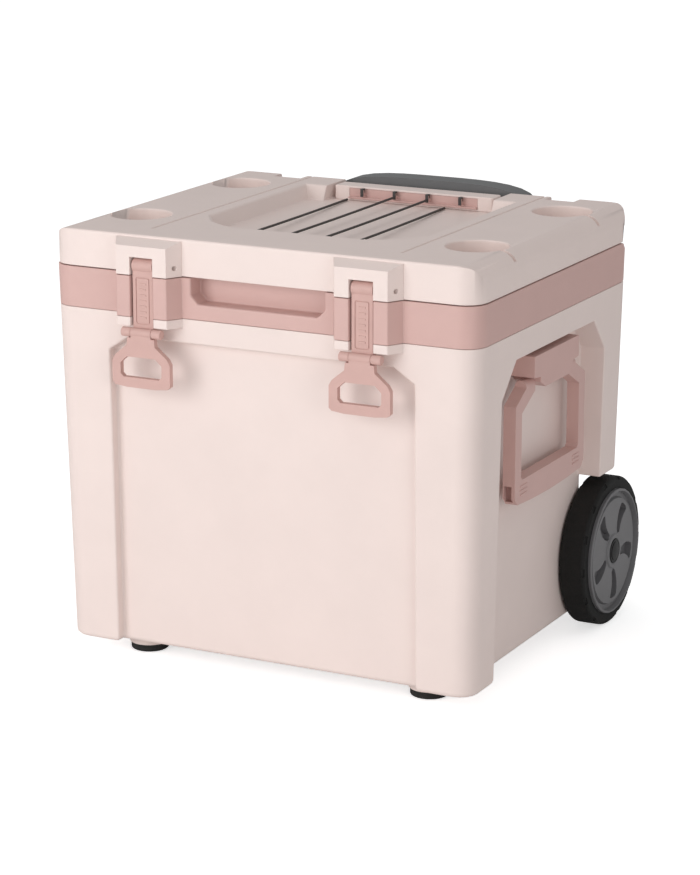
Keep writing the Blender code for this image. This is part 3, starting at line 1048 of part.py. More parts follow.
def build_tow_handle():
    """Guides on the tub's back, rails that slide in them, and the grip with its trigger."""
    half = TOW_GRIP_WIDTH / 2
    base = TOW_TOP - TOW_GRIP_RISE
    steps = 8
    tops = [half * math.sin(math.radians(90 * index / steps)) for index in range(steps + 1)]
    half_outline = [(x, base + grip_top(x)) for x in tops]
    leg_inner = TOW_X - TOW_LEG_WIDTH / 2
    leg_outer = TOW_X + TOW_LEG_WIDTH / 2
    leg_bottom = TOW_BAR_BOTTOM - 22 * MM
    half_outline += [(half - 3 * MM, base - 8 * MM), (leg_outer, leg_bottom), (leg_inner, leg_bottom)]
    half_outline += [(leg_inner - 8 * MM, TOW_BAR_BOTTOM)]
    loop = half_outline + [(-x, z) for x, z in reversed(half_outline[1:])]
    y_low, y_high = TOW_Y - TOW_GRIP_DEPTH / 2, TOW_Y + TOW_GRIP_DEPTH / 2
    grip = plate("tow_grip", [loop], "Y", y_low, y_high)
    soften(grip, 5 * MM, 2, 50.0)
    socket_top = TOW_TOP - 12 * MM
    for side, sign in SIDES:
        socket_centre = (sign * TOW_X, TOW_Y, (socket_top + leg_bottom - 5 * MM) / 2)
        cut(grip, rod(f"grip_socket_{side}", socket_centre, (0, 0, 1), TOW_RAIL_RADIUS + GAP,
                      socket_top - leg_bottom + 5 * MM, 24))
    slot_half = TRIGGER_WIDTH / 2 + GAP
    slot_depth = TRIGGER_DEPTH / 2 + GAP
    trigger_top = TOW_BAR_BOTTOM + 8 * MM
    cut(grip, box("trigger_slot", (-slot_half, TOW_Y - slot_depth, TOW_BAR_BOTTOM - 5 * MM),
                  (slot_half, TOW_Y + slot_depth, trigger_top + TRIGGER_TRAVEL + GAP)))
    finish(smooth(grip), CHARCOAL, 0.5)
    trigger_low = TOW_BAR_BOTTOM - TRIGGER_TRAVEL - 1 * MM
    trigger = box("tow_trigger", (-TRIGGER_WIDTH / 2, TOW_Y - TRIGGER_DEPTH / 2, trigger_low),
                  (TRIGGER_WIDTH / 2, TOW_Y + TRIGGER_DEPTH / 2, trigger_top))
    soften(trigger, 1.5 * MM, 2)
    finish(trigger, HUB_GREY, 0.5)

    rail_low = TOW_FOOT + 8 * MM
    rail_high = socket_top - GAP
    rails = []
    for side, sign in SIDES:
        x = sign * TOW_X
        rail = rod(f"tow_rail_{side}", (x, TOW_Y, (rail_low + rail_high) / 2), (0, 0, 1), TOW_RAIL_RADIUS,
                   rail_high - rail_low, 24)
        cut(rail, rod(f"rail_bore_{side}", (x, TOW_Y, (rail_low + rail_high) / 2 - 10 * MM), (0, 0, 1),
                      TOW_RAIL_BORE, rail_high - rail_low, 24))
        rails.append(finish(smooth(rail), STEEL, 0.35, 1.0))
        guide = rod(f"tow_guide_{side}", (x, TOW_Y, (TOW_FOOT + TOW_GUIDE_TOP) / 2), (0, 0, 1),
                    TOW_GUIDE_RADIUS, TOW_GUIDE_TOP - TOW_FOOT, 24)
        cut(guide, rod(f"guide_bore_{side}", (x, TOW_Y, (TOW_FOOT + TOW_GUIDE_TOP) / 2 + 3 * MM), (0, 0, 1),
                       TOW_RAIL_RADIUS + RUNNING, TOW_GUIDE_TOP - TOW_FOOT, 24))
        finish(smooth(guide), CHARCOAL, 0.45)
    brackets = (("upper", TOW_GUIDE_TOP - TOW_BRACKET_HEIGHT - 2 * MM), ("lower", TOW_FOOT + 60 * MM))
    bracket_back = TOW_Y + TOW_GUIDE_RADIUS + 3 * MM
    for name, low in brackets:
        high = low + TOW_BRACKET_HEIGHT
        wall = half_at(high)[1] + GAP
        reach = TOW_X + TOW_GUIDE_RADIUS + 9 * MM
        outline = [(-reach, wall), (reach, wall), (reach, bracket_back - 6 * MM)]
        outline += [(reach - 6 * MM, bracket_back)]
        inner = TOW_X - TOW_GUIDE_RADIUS - 6 * MM
        outline += [(inner, bracket_back), (inner - 8 * MM, wall + 8 * MM), (8 * MM - inner, wall + 8 * MM)]
        outline += [(-inner, bracket_back), (6 * MM - reach, bracket_back), (-reach, bracket_back - 6 * MM)]
        bracket = plate(f"tow_bracket_{name}", [outline], "Z", low, high)
        for side, sign in SIDES:
            cut(bracket, rod(f"tow_{name}_bore_{side}", (sign * TOW_X, TOW_Y, (low + high) / 2), (0, 0, 1),
                             TOW_GUIDE_RADIUS + GAP, TOW_BRACKET_HEIGHT + 10 * MM, 24))
        finish(bracket, CHARCOAL, 0.5)
    return grip, trigger, rails


# ---------------------------------------------------------------- wheels

def pocket_loop():
    """A hub pocket that widens outwards and bows to one side, as (along, across) points."""
    near, far = [], []
    steps = 4
    for step in range(steps + 1):
        share = step / steps
        along = POCKET_INNER + (POCKET_OUTER - POCKET_INNER) * share
        half = POCKET_INNER_HALF + (POCKET_OUTER_HALF - POCKET_INNER_HALF) * share
        bow = 4 * POCKET_BOW * share * (1 - share)
        near.append((along, bow - half))
        far.append((along, bow + half))
    inner_end = (POCKET_INNER - POCKET_INNER_HALF * 0.7, 0.0)
    end = POCKET_OUTER + 3 * MM
    outer_end = [(end, -POCKET_OUTER_HALF * 0.6), (end, POCKET_OUTER_HALF * 0.6)]
    return [inner_end] + near + outer_end + far[::-1]


def build_wheel(side, sign):
    """Tyre, hub and cap of one wheel, all about the axle."""
    centre = (0, WHEEL_Y, WHEEL_Z)
    radius = WHEEL_DIAMETER / 2
    out = (sign, 0, 0)
    bead = HUB_RADIUS + GAP
    profile = [(bead, TYRE_OUTER), (radius - TYRE_SHOULDER, TYRE_OUTER), (radius, TYRE_OUTER - TYRE_SHOULDER)]
    profile += [(radius, TYRE_INNER + TYRE_SHOULDER), (radius - TYRE_SHOULDER, TYRE_INNER)]
    profile += [(bead, TYRE_INNER)]
    tyre = turned(f"tyre_{side}", profile, centre, out, TYRE_STEPS, closed=True)
    finish(smooth(tyre), RUBBER_BLACK, 0.85)

    bore = AXLE_RADIUS + RUNNING
    face = TYRE_OUTER + HUB_PROUD
    boss = CAP_RADIUS + 5 * MM
    disc = face - HUB_DISC_DEPTH
    back = TYRE_INNER + 2 * MM
    rim = HUB_RADIUS - HUB_RIM
    channel_in = rim - HUB_CHANNEL
    profile = [(bore, face - 12 * MM), (CAP_RADIUS, face - 12 * MM), (CAP_RADIUS, face - 1 * MM)]
    profile += [(boss, face - 1 * MM), (boss + 2 * MM, disc), (channel_in - 2 * MM, disc)]
    profile += [(channel_in, face - HUB_CHANNEL_DEPTH), (rim - 2 * MM, face - HUB_CHANNEL_DEPTH)]
    profile += [(rim, face), (HUB_RADIUS - 1 * MM, face), (HUB_RADIUS, face - 1 * MM), (HUB_RADIUS, back)]
    profile += [(HUB_RADIUS - 6 * MM, back), (HUB_RADIUS - 6 * MM, back + 16 * MM), (boss, back + 16 * MM)]
    profile += [(boss, back), (bore, back)]
    hub = turned(f"hub_{side}", profile, centre, out, 32, closed=True)
    for index in range(HUB_POCKETS):
        turn = math.radians(360 / HUB_POCKETS * index + POCKET_TURN)
        outline = [(WHEEL_Y + along * math.cos(turn) - across * math.sin(turn),
                    WHEEL_Z + along * math.sin(turn) + across * math.cos(turn))
                   for along, across in pocket_loop()]
        low, high = sorted((sign * (disc - HUB_POCKET_DEPTH), sign * (face + 5 * MM)))
        cut(hub, plate(f"hub_pocket_{side}_{index}", [outline], "X", low, high))
    finish(smooth(hub), HUB_GREY, 0.5)

    cap_back = face - 7 * MM
    profile = [(0.0, face + 1.5 * MM), (CAP_RADIUS - 5 * MM, face + 0.5 * MM)]
    profile += [(CAP_RADIUS - 4 * MM, face - 0.5 * MM), (CAP_RADIUS - 3 * MM, face)]
    profile += [(CAP_RADIUS - 1 * MM, face), (CAP_RADIUS - GAP, face - 1 * MM)]
    profile += [(CAP_RADIUS - GAP, cap_back), (0.0, cap_back)]
    cap = turned(f"hub_cap_{side}", profile, centre, out, 28)
    finish(smooth(cap), RUBBER_BLACK, 0.4)

    ring_low = face - 12 * MM + GAP
    ring_high = cap_back - GAP
    ring_bore = AXLE_RADIUS + 0.1 * MM
    ring_radius = AXLE_RADIUS + 5 * MM
    profile = [(ring_bore, ring_high), (ring_radius, ring_high), (ring_radius, ring_low)]
    profile += [(ring_bore, ring_low)]
    ring = turned(f"axle_ring_{side}", profile, centre, out, 20, closed=True)
    finish(smooth(ring), STEEL, 0.35, 1.0)

    spacer_low = SPINE_HALF + GAP
    spacer_high = back - 1 * MM
    profile = [(bore, spacer_high), (SPACER_RADIUS, spacer_high), (SPACER_RADIUS, spacer_low)]
    profile += [(bore, spacer_low)]
    spacer = turned(f"axle_spacer_{side}", profile, centre, out, 24, closed=True)
    finish(smooth(spacer), CHARCOAL, 0.6)
    return tyre, hub, cap


def build_axle():
    """The steel axle right across the tub."""
    length = 2 * (TYRE_OUTER + HUB_PROUD - 7 * MM - 2 * GAP)
    axle = rod("axle", (0, WHEEL_Y, WHEEL_Z), (1, 0, 0), AXLE_RADIUS, length, 20)
    finish(smooth(axle), STEEL, 0.3, 1.0)


# ---------------------------------------------------------------- drain

def build_drain():
    """Spout through the left wall, with a screwed plug and its seal outside."""
    centre = (0, DRAIN_Y, DRAIN_HEIGHT)
    out = (-1, 0, 0)
    inner = LINER_X + GAP
    seat = SIDE_FLOOR + GAP
    mouth = seat + DRAIN_FLANGE
    profile = [(DRAIN_BORE, mouth), (DRAIN_FLANGE_RADIUS - 1 * MM, mouth)]
    profile += [(DRAIN_FLANGE_RADIUS, mouth - 1 * MM), (DRAIN_FLANGE_RADIUS, seat), (DRAIN_RADIUS, seat)]
    profile += [(DRAIN_RADIUS, inner), (DRAIN_BORE, inner)]
    spout = turned("drain_spout", profile, centre, out, 28, closed=True)
    finish(smooth(spout), CHARCOAL, 0.5)

    seal_low = mouth + GAP
    seal_high = seal_low + DRAIN_SEAL
    stem = DRAIN_BORE - RUNNING
    seal_radius = DRAIN_HEAD_RADIUS - 2 * MM
    profile = [(DRAIN_BORE, seal_high), (seal_radius, seal_high), (seal_radius, seal_low)]
    profile += [(DRAIN_BORE, seal_low)]
    seal = turned("drain_seal", profile, centre, out, 24, closed=True)
    finish(smooth(seal), RUBBER_BLACK, 0.8)

    head_low = seal_high + GAP
    head_high = head_low + DRAIN_HEAD
    stem_end = seal_low - DRAIN_STEM
    profile = [(0.0, head_high), (DRAIN_HEAD_RADIUS - 2 * MM, head_high)]
    profile += [(DRAIN_HEAD_RADIUS, head_high - 2 * MM), (DRAIN_HEAD_RADIUS, head_low), (stem, head_low)]
    profile += [(stem, stem_end), (0.0, stem_end)]
    plug = turned("drain_plug", profile, centre, out, 24)
    for index in range(DRAIN_LOBES):
        angle = math.tau * index / DRAIN_LOBES
        at = (-(head_low + head_high) / 2, DRAIN_Y + (DRAIN_HEAD_RADIUS + 1.5 * MM) * math.cos(angle),
              DRAIN_HEIGHT + (DRAIN_HEAD_RADIUS + 1.5 * MM) * math.sin(angle))
        cut(plug, rod(f"plug_flute_{index}", at, (1, 0, 0), 4 * MM, DRAIN_HEAD + 5 * MM, 10))
    finish(smooth(plug), CHARCOAL, 0.5)
    return seal, plug


# ---------------------------------------------------------------- assembly

build_tub()
lid_pivot = pivot("lid_pivot", (0, HINGE_Y, HINGE_Z))
carry(lid_pivot, *build_lid(), *build_lid_lugs(), *build_tray_fittings())
build_hinges()
for side_name, side_sign in SIDES:
    strap, bar, hinge_pin = build_latch(side_name, side_sign)
    latch_pivot = pivot(f"latch_pivot_{side_name}", (side_sign * LATCH_X, LATCH_PIN_Y, LATCH_PIN_Z))
    carry(latch_pivot, strap, bar)
    carry(lid_pivot, latch_pivot, hinge_pin)
    handle_pivot = pivot(f"side_handle_pivot_{side_name}", (side_sign * BAIL_X, 0, BAIL_Z))
    carry(handle_pivot, build_side_handle(side_name, side_sign))
    wheel_pivot = pivot(f"wheel_pivot_{side_name}", (side_sign * TYRE_INNER, WHEEL_Y, WHEEL_Z))
    carry(wheel_pivot, *build_wheel(side_name, side_sign))
build_axle()
tow_grip, tow_trigger, tow_rails = build_tow_handle()
tow_pivot = pivot("tow_pivot", (0, TOW_Y, TOW_TOP))
carry(tow_pivot, tow_grip, tow_trigger, *tow_rails)
drain_pivot = pivot("drain_pivot", (-SIDE_FLOOR, DRAIN_Y, DRAIN_HEIGHT))
carry(drain_pivot, *build_drain())
for loose in list(PARTS.objects) + list(CUTTERS.objects):
    if loose.parent is None:
        loose.location.y -= ORIGIN_SHIFT
bpy.context.view_layer.update()
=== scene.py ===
"""Looks of a wheeled ice chest: moulded shells, rubber latches, bail handles, wheels and a pull handle.

Metres, +Z up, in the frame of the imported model. The front faces -Y. Each sub-assembly is a class that
copies or models its pieces, softens their edges, dresses them and hangs them on their CAD body.
"""
import logging
import math
from dataclasses import dataclass, field
from enum import Enum
from typing import Callable, Iterable, Optional

import bpy
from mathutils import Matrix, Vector


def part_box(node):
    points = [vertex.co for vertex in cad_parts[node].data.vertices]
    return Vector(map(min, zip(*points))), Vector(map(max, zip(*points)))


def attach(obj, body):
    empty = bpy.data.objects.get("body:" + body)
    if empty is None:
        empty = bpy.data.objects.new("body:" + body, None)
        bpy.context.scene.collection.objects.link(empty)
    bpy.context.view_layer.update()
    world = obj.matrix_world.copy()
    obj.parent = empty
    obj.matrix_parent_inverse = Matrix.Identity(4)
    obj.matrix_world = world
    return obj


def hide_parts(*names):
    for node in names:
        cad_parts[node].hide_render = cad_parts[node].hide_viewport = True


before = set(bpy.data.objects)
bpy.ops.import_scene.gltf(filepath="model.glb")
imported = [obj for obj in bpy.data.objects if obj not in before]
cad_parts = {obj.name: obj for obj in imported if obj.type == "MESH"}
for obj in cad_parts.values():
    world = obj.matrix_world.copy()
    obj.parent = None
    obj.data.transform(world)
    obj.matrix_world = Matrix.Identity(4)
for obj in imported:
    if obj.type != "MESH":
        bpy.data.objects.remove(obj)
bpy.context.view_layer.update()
LOG = logging.getLogger("ice_chest")
MM = 0.001
SIDES: tuple[tuple[str, int], ...] = (("left", -1), ("right", 1))
WELD = 0.02 * MM                # points closer than this are one
NEAR = 1.0 * MM                 # this close to a face counts as on it
FLAT_DEGREES = 0.6              # facets within this angle lie in one plane
RELIEF_DEPTH = 0.25 * MM        # height of the fine relief

EdgeTest = Callable[[Vector], bool]
Rule = tuple[EdgeTest, float]
Range = tuple[float, float]


class Surface(Enum):
    """How a finish's surface was made, which picks its fine pattern."""

    MOULDED = "moulded"
    GRAINED = "grained"
    FOAMED = "foamed"
    BRUSHED = "brushed"
    BRAIDED = "braided"


# ---------------------------------------------------------------- finishes

def linear(hex_colour: str) -> tuple[float, float, float, float]:
    """Turn an sRGB hex colour into the linear values that shaders take.

    Args:
        hex_colour: six hex digits, such as "e9d8d2".

    Returns:
        Linear red, green and blue, and an alpha of one.
    """
    values = [int(hex_colour[index:index + 2], 16) / 255 for index in (0, 2, 4)]
    return (*[v / 12.92 if v <= 0.04045 else ((v + 0.055) / 1.055) ** 2.4 for v in values], 1.0)


def per_mm(size_mm: float) -> float:
    """Pattern scale that repeats about every size_mm on Object coordinates, which are in metres."""
    return 1000.0 / size_mm


def add_node(tree: bpy.types.NodeTree, kind: str, settings: Optional[dict] = None,
             links: Optional[dict] = None) -> bpy.types.Node:
    """Add one node with its settings and its inputs' links.

    Args:
        tree: the material's node tree.
        kind: the node's Blender type.
        settings: attribute or input names and their values.
        links: input names and the output sockets that feed them.

    Returns:
        The new node.
    """
    node = tree.nodes.new(kind)
    for name, value in (settings or {}).items():
        if hasattr(node, name):
            setattr(node, name, value)
        else:
            node.inputs[name].default_value = value
    for name, socket in (links or {}).items():
        tree.links.new(socket, node.inputs[name])
    return node


@dataclass(frozen=True)
class Finish:
    """One real material with its colour, gloss and the fine pattern of its surface."""

    name: str
    colour: str
    roughness: float
    ior: float = 1.5
    metallic: float = 0.0
    surface: Surface = Surface.MOULDED
    grain_mm: float = 1.6
    grain_depth: float = 0.25
    mottle: float = 0.02
    mottle_mm: float = 60.0
    gloss_spread: float = 0.05
    stretch: tuple[float, float, float] = (1.0, 1.0, 1.0)

    def make(self) -> bpy.types.Material:
        """Build the material once and return it on every later call."""
        known = bpy.data.materials.get(self.name)
        if known is not None:
            return known
        material = bpy.data.materials.new(self.name)
        material.use_nodes = True
        tree = material.node_tree
        shader = tree.nodes["Principled BSDF"]
        shader.inputs["Metallic"].default_value = self.metallic
        shader.inputs["IOR"].default_value = self.ior
        place = add_node(tree, "ShaderNodeTexCoord").outputs["Object"]
        self._colour(tree, shader, place)
        grain = self._grain(tree, place)
        gloss = add_node(tree, "ShaderNodeMapRange",
                         {"To Min": self.roughness - self.gloss_spread,
                          "To Max": self.roughness + self.gloss_spread},
                         {"Value": grain})
        tree.links.new(gloss.outputs["Result"], shader.inputs["Roughness"])
        relief = add_node(tree, "ShaderNodeBump",
                          {"Strength": self.grain_depth, "Distance": RELIEF_DEPTH},
                          {"Height": grain})
        tree.links.new(relief.outputs["Normal"], shader.inputs["Normal"])
        return material

    def _colour(self, tree: bpy.types.NodeTree, shader: bpy.types.Node,
                place: bpy.types.NodeSocket) -> None:
        """Give the base colour the faint cloudiness that pigment leaves.

        Args:
            tree: the material's node tree.
            shader: the Principled shader.
            place: Object coordinates.
        """
        cloud = add_node(tree, "ShaderNodeTexNoise",
                         {"Scale": per_mm(self.mottle_mm), "Detail": 4.0, "Roughness": 0.6},
                         {"Vector": place})
        base = linear(self.colour)
        dark = tuple(channel * (1 - self.mottle * 2) for channel in base[:3])
        pale = tuple(min(channel * (1 + self.mottle), 1.0) for channel in base[:3])
        ramp = add_node(tree, "ShaderNodeValToRGB", links={"Fac": cloud.outputs["Fac"]})
        ramp.color_ramp.elements[0].position = 0.3
        ramp.color_ramp.elements[0].color = (*dark, 1.0)
        ramp.color_ramp.elements[1].position = 0.7
        ramp.color_ramp.elements[1].color = (*pale, 1.0)
        tree.links.new(ramp.outputs["Color"], shader.inputs["Base Color"])

    def _grain(self, tree: bpy.types.NodeTree, place: bpy.types.NodeSocket) -> bpy.types.NodeSocket:
        """Make the fine surface pattern.

        Args:
            tree: the material's node tree.
            place: Object coordinates.

        Returns:
            A height between 0 and 1.
        """
        spread = add_node(tree, "ShaderNodeMapping", {"Scale": self.stretch}, {"Vector": place})
        where = spread.outputs["Vector"]
        if self.surface in (Surface.MOULDED, Surface.BRUSHED):
            noise = add_node(tree, "ShaderNodeTexNoise",
                             {"Scale": per_mm(self.grain_mm), "Detail": 3.0, "Roughness": 0.55},
                             {"Vector": where})
            return noise.outputs["Fac"]
        if self.surface is Surface.BRAIDED:
            wave = add_node(tree, "ShaderNodeTexWave",
                            {"Scale": per_mm(self.grain_mm) / 6.2832, "Distortion": 0.0,
                             "bands_direction": "DIAGONAL"}, {"Vector": where})
            return wave.outputs["Fac"]
        cells = add_node(tree, "ShaderNodeTexVoronoi",
                         {"Scale": per_mm(self.grain_mm), "Randomness": 1.0}, {"Vector": where})
        return cells.outputs["Distance"]


# Rotationally moulded polyethylene: waxy, half matt, with a faint orange peel from the mould.
CREAM_SHELL = Finish("cream_moulded_polyethylene", "e9d8d2", 0.46, ior=1.51, grain_mm=2.2,
                     grain_depth=0.18, mottle=0.012, mottle_mm=90.0)
# The same resin in a dusty pink, injected, with a finer peel.
PINK_SHELL = Finish("pink_moulded_polypropylene", "cfaaa3", 0.44, ior=1.49, grain_mm=1.8,
                    grain_depth=0.2, mottle=0.015, mottle_mm=70.0)
# Thermoplastic rubber: flatter than the hard plastic, and a little deeper in colour.
PINK_RUBBER = Finish("pink_thermoplastic_rubber", "cda79f", 0.6, ior=1.52, grain_mm=1.2,
                     grain_depth=0.3, mottle=0.02, mottle_mm=30.0)
# Glass-filled nylon of the pull handle: charcoal, with a spark-eroded leather grain.
CHARCOAL_NYLON = Finish("charcoal_glass_filled_nylon", "666768", 0.5, ior=1.53, surface=Surface.GRAINED,
                        grain_mm=1.4, grain_depth=0.25, mottle=0.03)
BLACK_ABS = Finish("black_abs", "1a1a1a", 0.32, ior=1.54, grain_mm=1.5, grain_depth=0.12, mottle=0.03)
HUB_NYLON = Finish("grey_hub_nylon", "6a696b", 0.42, ior=1.53, grain_mm=1.6, grain_depth=0.2, mottle=0.03)
# Polished cap in the hub's middle.
CAP_ABS = Finish("black_cap_abs", "070707", 0.35, ior=1.28, grain_mm=1.5, grain_depth=0.08, mottle=0.03)
# Paler grey of the bead that rings the hub: a painted highlight on the hub's rim edge.
PAINTED_HIGHLIGHT_NYLON = Finish("painted_highlight_grey_nylon", "8d8c8d", 0.4, ior=1.5, grain_mm=1.2, grain_depth=0.15)
# Solid tyre of filled EVA rubber: nearly black, very flat, with a dusty bloom.
TYRE_RUBBER = Finish("black_tyre_rubber", "0f0f0e", 0.72, ior=1.42, surface=Surface.GRAINED, grain_mm=2.4,
                     grain_depth=0.35, mottle=0.12, mottle_mm=25.0)
FOOT_RUBBER = Finish("black_foot_rubber", "141413", 0.75, ior=1.52, grain_mm=1.5, grain_depth=0.3)
# Pigmented polypropylene of the liner: white, glossier than the shell, so that it wipes clean.
WHITE_LINER = Finish("white_moulded_polypropylene", "e6e7e6", 0.3, ior=1.49, grain_mm=3.0,
                     grain_depth=0.08, mottle=0.008, mottle_mm=120.0)
# Poured polyurethane foam: straw yellow, open cells at its skin.
STRAW_FOAM = Finish("poured_polyurethane_foam", "e2d3a4", 0.9, ior=1.45, surface=Surface.FOAMED,
                    grain_mm=3.0, grain_depth=0.8, mottle=0.06, mottle_mm=40.0)
# Braided elastic: the diagonal pattern is the plait of its cover.
ELASTIC_BRAID = Finish("charcoal_braided_elastic", "4a4543", 0.8, ior=1.5, surface=Surface.BRAIDED,
                       grain_mm=2.0, grain_depth=0.8, mottle=0.05, mottle_mm=8.0)
# Drawn steel: long fine scratches along the rod.
DRAWN_STEEL = Finish("drawn_stainless_steel", "b9b9ba", 0.28, metallic=1.0, surface=Surface.BRUSHED,
                     grain_mm=0.8, grain_depth=0.15, mottle=0.03, stretch=(1.0, 1.0, 0.06))
ANODISED_RAIL = Finish("satin_anodised_aluminium", "a9abad", 0.32, metallic=1.0, surface=Surface.BRUSHED,
                       grain_mm=0.8, grain_depth=0.15, mottle=0.03, stretch=(1.0, 1.0, 0.05))
DARK_WIRE = Finish("dark_coated_wire", "3a3534", 0.45, ior=1.5, grain_mm=1.0, grain_depth=0.1)


# ---------------------------------------------------------------- bench tools

def deselect_everything() -> None:
    """Leave no object selected."""
    for obj in bpy.context.selected_objects:
        obj.select_set(False)


def take_up(obj: bpy.types.Object) -> None:
    """Make one object the selected and active one."""
    deselect_everything()
    obj.select_set(True)
    bpy.context.view_layer.objects.active = obj


def into_edit(obj: bpy.types.Object, mode: str = "FACE", select: str = "DESELECT") -> None:
    """Open an object in edit mode.

    Args:
        obj: the object.
        mode: VERT, EDGE or FACE.
        select: what mesh.select_all does first.
    """
    take_up(obj)
    bpy.ops.object.mode_set(mode="EDIT")
    bpy.ops.mesh.select_mode(type=mode)
    bpy.ops.mesh.select_all(action=select)


def out_of_edit() -> None:
    """Go back to object mode."""
    bpy.ops.object.mode_set(mode="OBJECT")


def apply_all(obj: bpy.types.Object) -> None:
    """Apply every modifier of an object, first to last."""
    take_up(obj)
    for modifier in list(obj.modifiers):
        bpy.ops.object.modifier_apply(modifier=modifier.name)


def copy_node(node: str, name: str, run_together: bool = True) -> bpy.types.Object:
    """Copy a CAD node as a clean mesh.

    Args:
        node: the CAD node.
        name: the new piece's name.
        run_together: make one face of the facets that lie in one plane.

    Returns:
        The new object, at the origin.
    """
    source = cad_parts[node]
    piece = bpy.data.objects.new(name, source.data.copy())
    bpy.context.scene.collection.objects.link(piece)
    piece.data.materials.clear()
    into_edit(piece, "VERT", "SELECT")
    bpy.ops.mesh.remove_doubles(threshold=WELD)
    if run_together:
        bpy.ops.mesh.dissolve_limited(angle_limit=math.radians(FLAT_DEGREES))
    out_of_edit()
    return piece


def weigh_edges(piece: bpy.types.Object, rules: Iterable[Rule], default: float, widest: float,
                angle: float) -> None:
    """Write bevel weights on the sharp edges of a piece.

    Args:
        piece: the mesh object.
        rules: pairs of a test on an edge's middle and a width; the first that holds is used.
        default: width of the other sharp edges.
        widest: the width that a weight of one stands for.
        angle: least angle, in degrees, between two faces of a sharp edge.
    """
    mesh = piece.data
    normals: dict[tuple[int, int], list[Vector]] = {}
    for face in mesh.polygons:
        for key in face.edge_keys:
            normals.setdefault(key, []).append(face.normal)
    weights = [0.0] * len(mesh.edges)
    limit = math.radians(angle)
    for edge in mesh.edges:
        sides = normals.get(tuple(sorted(edge.vertices)), [])
        if len(sides) != 2 or sides[0].angle(sides[1], 0.0) < limit:
            continue
        first, second = (mesh.vertices[index].co for index in edge.vertices)
        middle = (first + second) / 2
        width = next((size for test, size in rules if test(middle)), default)
        weights[edge.index] = min(width / widest, 1.0)
    layer = mesh.attributes.new("bevel_weight_edge", "FLOAT", "EDGE")
    layer.data.foreach_set("value", weights)


def soften(piece: bpy.types.Object, rules: Iterable[Rule] = (), default: float = 1.0 * MM,
           widest: float = 8.0 * MM, segments: int = 3, angle: float = 34.0,
           clamp: bool = False) -> bpy.types.Object:
    """Round the sharp edges of a piece and shade it.

    Args:
        piece: the mesh object.
        rules: places with a width of their own.
        default: width of the other sharp edges.
        widest: largest width in the rules.
        segments: steps across each rounded edge.
        angle: least angle, in degrees, of an edge that counts as sharp.
        clamp: keep neighbouring rounds from running into each other.

    Returns:
        The same piece.
    """
    weigh_edges(piece, list(rules), default, widest, angle)
    bevel = piece.modifiers.new("edges", "BEVEL")
    bevel.limit_method = "WEIGHT"
    bevel.width = widest
    bevel.segments = segments
    bevel.use_clamp_overlap = clamp
    apply_all(piece)
    return shade(piece)


def shade(piece: bpy.types.Object, angle: float = 38.0) -> bpy.types.Object:
    """Shade a piece smooth up to an angle, with flat faces kept flat."""
    take_up(piece)
    bpy.ops.object.shade_smooth_by_angle(angle=math.radians(angle))
    weighted = piece.modifiers.new("normals", "WEIGHTED_NORMAL")
    weighted.keep_sharp = True
    weighted.weight = 80
    bpy.ops.object.modifier_apply(modifier=weighted.name)
    return piece


def dress(piece: bpy.types.Object, finish: Finish, body: str,
          nodes: Iterable[str] = ()) -> bpy.types.Object:
    """Give a piece its finish, its body and the nodes that it stands for.

    Args:
        piece: the finished object.
        finish: its material.
        body: the CAD body that it rides on.
        nodes: CAD nodes that it replaces.

    Returns:
        The same piece.
    """
    piece.data.materials.clear()
    piece.data.materials.append(finish.make())
    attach(piece, body)
    for node in nodes:
        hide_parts(node)
    LOG.info("%s: %d faces on %s", piece.name, len(piece.data.polygons), body)
    return piece


def paint_node(node: str, finish: Finish) -> None:
    """Give a CAD node that stays as it is a procedural finish."""
    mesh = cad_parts[node].data
    mesh.materials.clear()
    mesh.materials.append(finish.make())


def within(low: Iterable[float], high: Iterable[float]) -> EdgeTest:
    """A test for points in a box.

    Args:
        low: lowest corner.
        high: highest corner.

    Returns:
        The test.
    """
    lows, highs = tuple(low), tuple(high)
    return lambda point: all(a <= value <= b for a, value, b in zip(lows, point, highs))


def mesh_from_curve(curve: bpy.types.Object) -> bpy.types.Object:
    """Turn a curve object into a mesh object in its place, with its caps welded."""
    take_up(curve)
    bpy.ops.object.convert(target="MESH")
    bpy.ops.object.transform_apply(location=True, rotation=True, scale=True)
    into_edit(curve, "VERT", "SELECT")
    bpy.ops.mesh.remove_doubles(threshold=0.01 * MM)
    bpy.ops.mesh.normals_make_consistent(inside=False)
    out_of_edit()
    return curve


def bent_rod(name: str, points: list[Vector], radius: float, sides: int = 3) -> bpy.types.Object:
    """A round rod along a smooth line through points, as a mesh.

    Args:
        name: the object's name.
        points: the line's points.
        radius: the rod's radius.
        sides: bevel resolution of the curve.

    Returns:
        The rod.
    """
    data = bpy.data.curves.new(name, "CURVE")
    data.dimensions = "3D"
    data.bevel_depth = radius
    data.bevel_resolution = sides
    data.use_fill_caps = True
    spline = data.splines.new("BEZIER")
    spline.bezier_points.add(len(points) - 1)
    for knot, point in zip(spline.bezier_points, points):
        knot.co = point
        knot.handle_left_type = "AUTO"
        knot.handle_right_type = "AUTO"
    data.resolution_u = 6
    curve = bpy.data.objects.new(name, data)
    bpy.context.scene.collection.objects.link(curve)
    return mesh_from_curve(curve)


def fused(name: str, pieces: list[bpy.types.Object]) -> bpy.types.Object:
    """Join mesh objects into one that carries a name."""
    deselect_everything()
    for piece in pieces:
        piece.select_set(True)
    bpy.context.view_layer.objects.active = pieces[0]
    bpy.ops.object.join()
    joined = bpy.context.view_layer.objects.active
    joined.name = name
    joined.data.name = name
    return joined


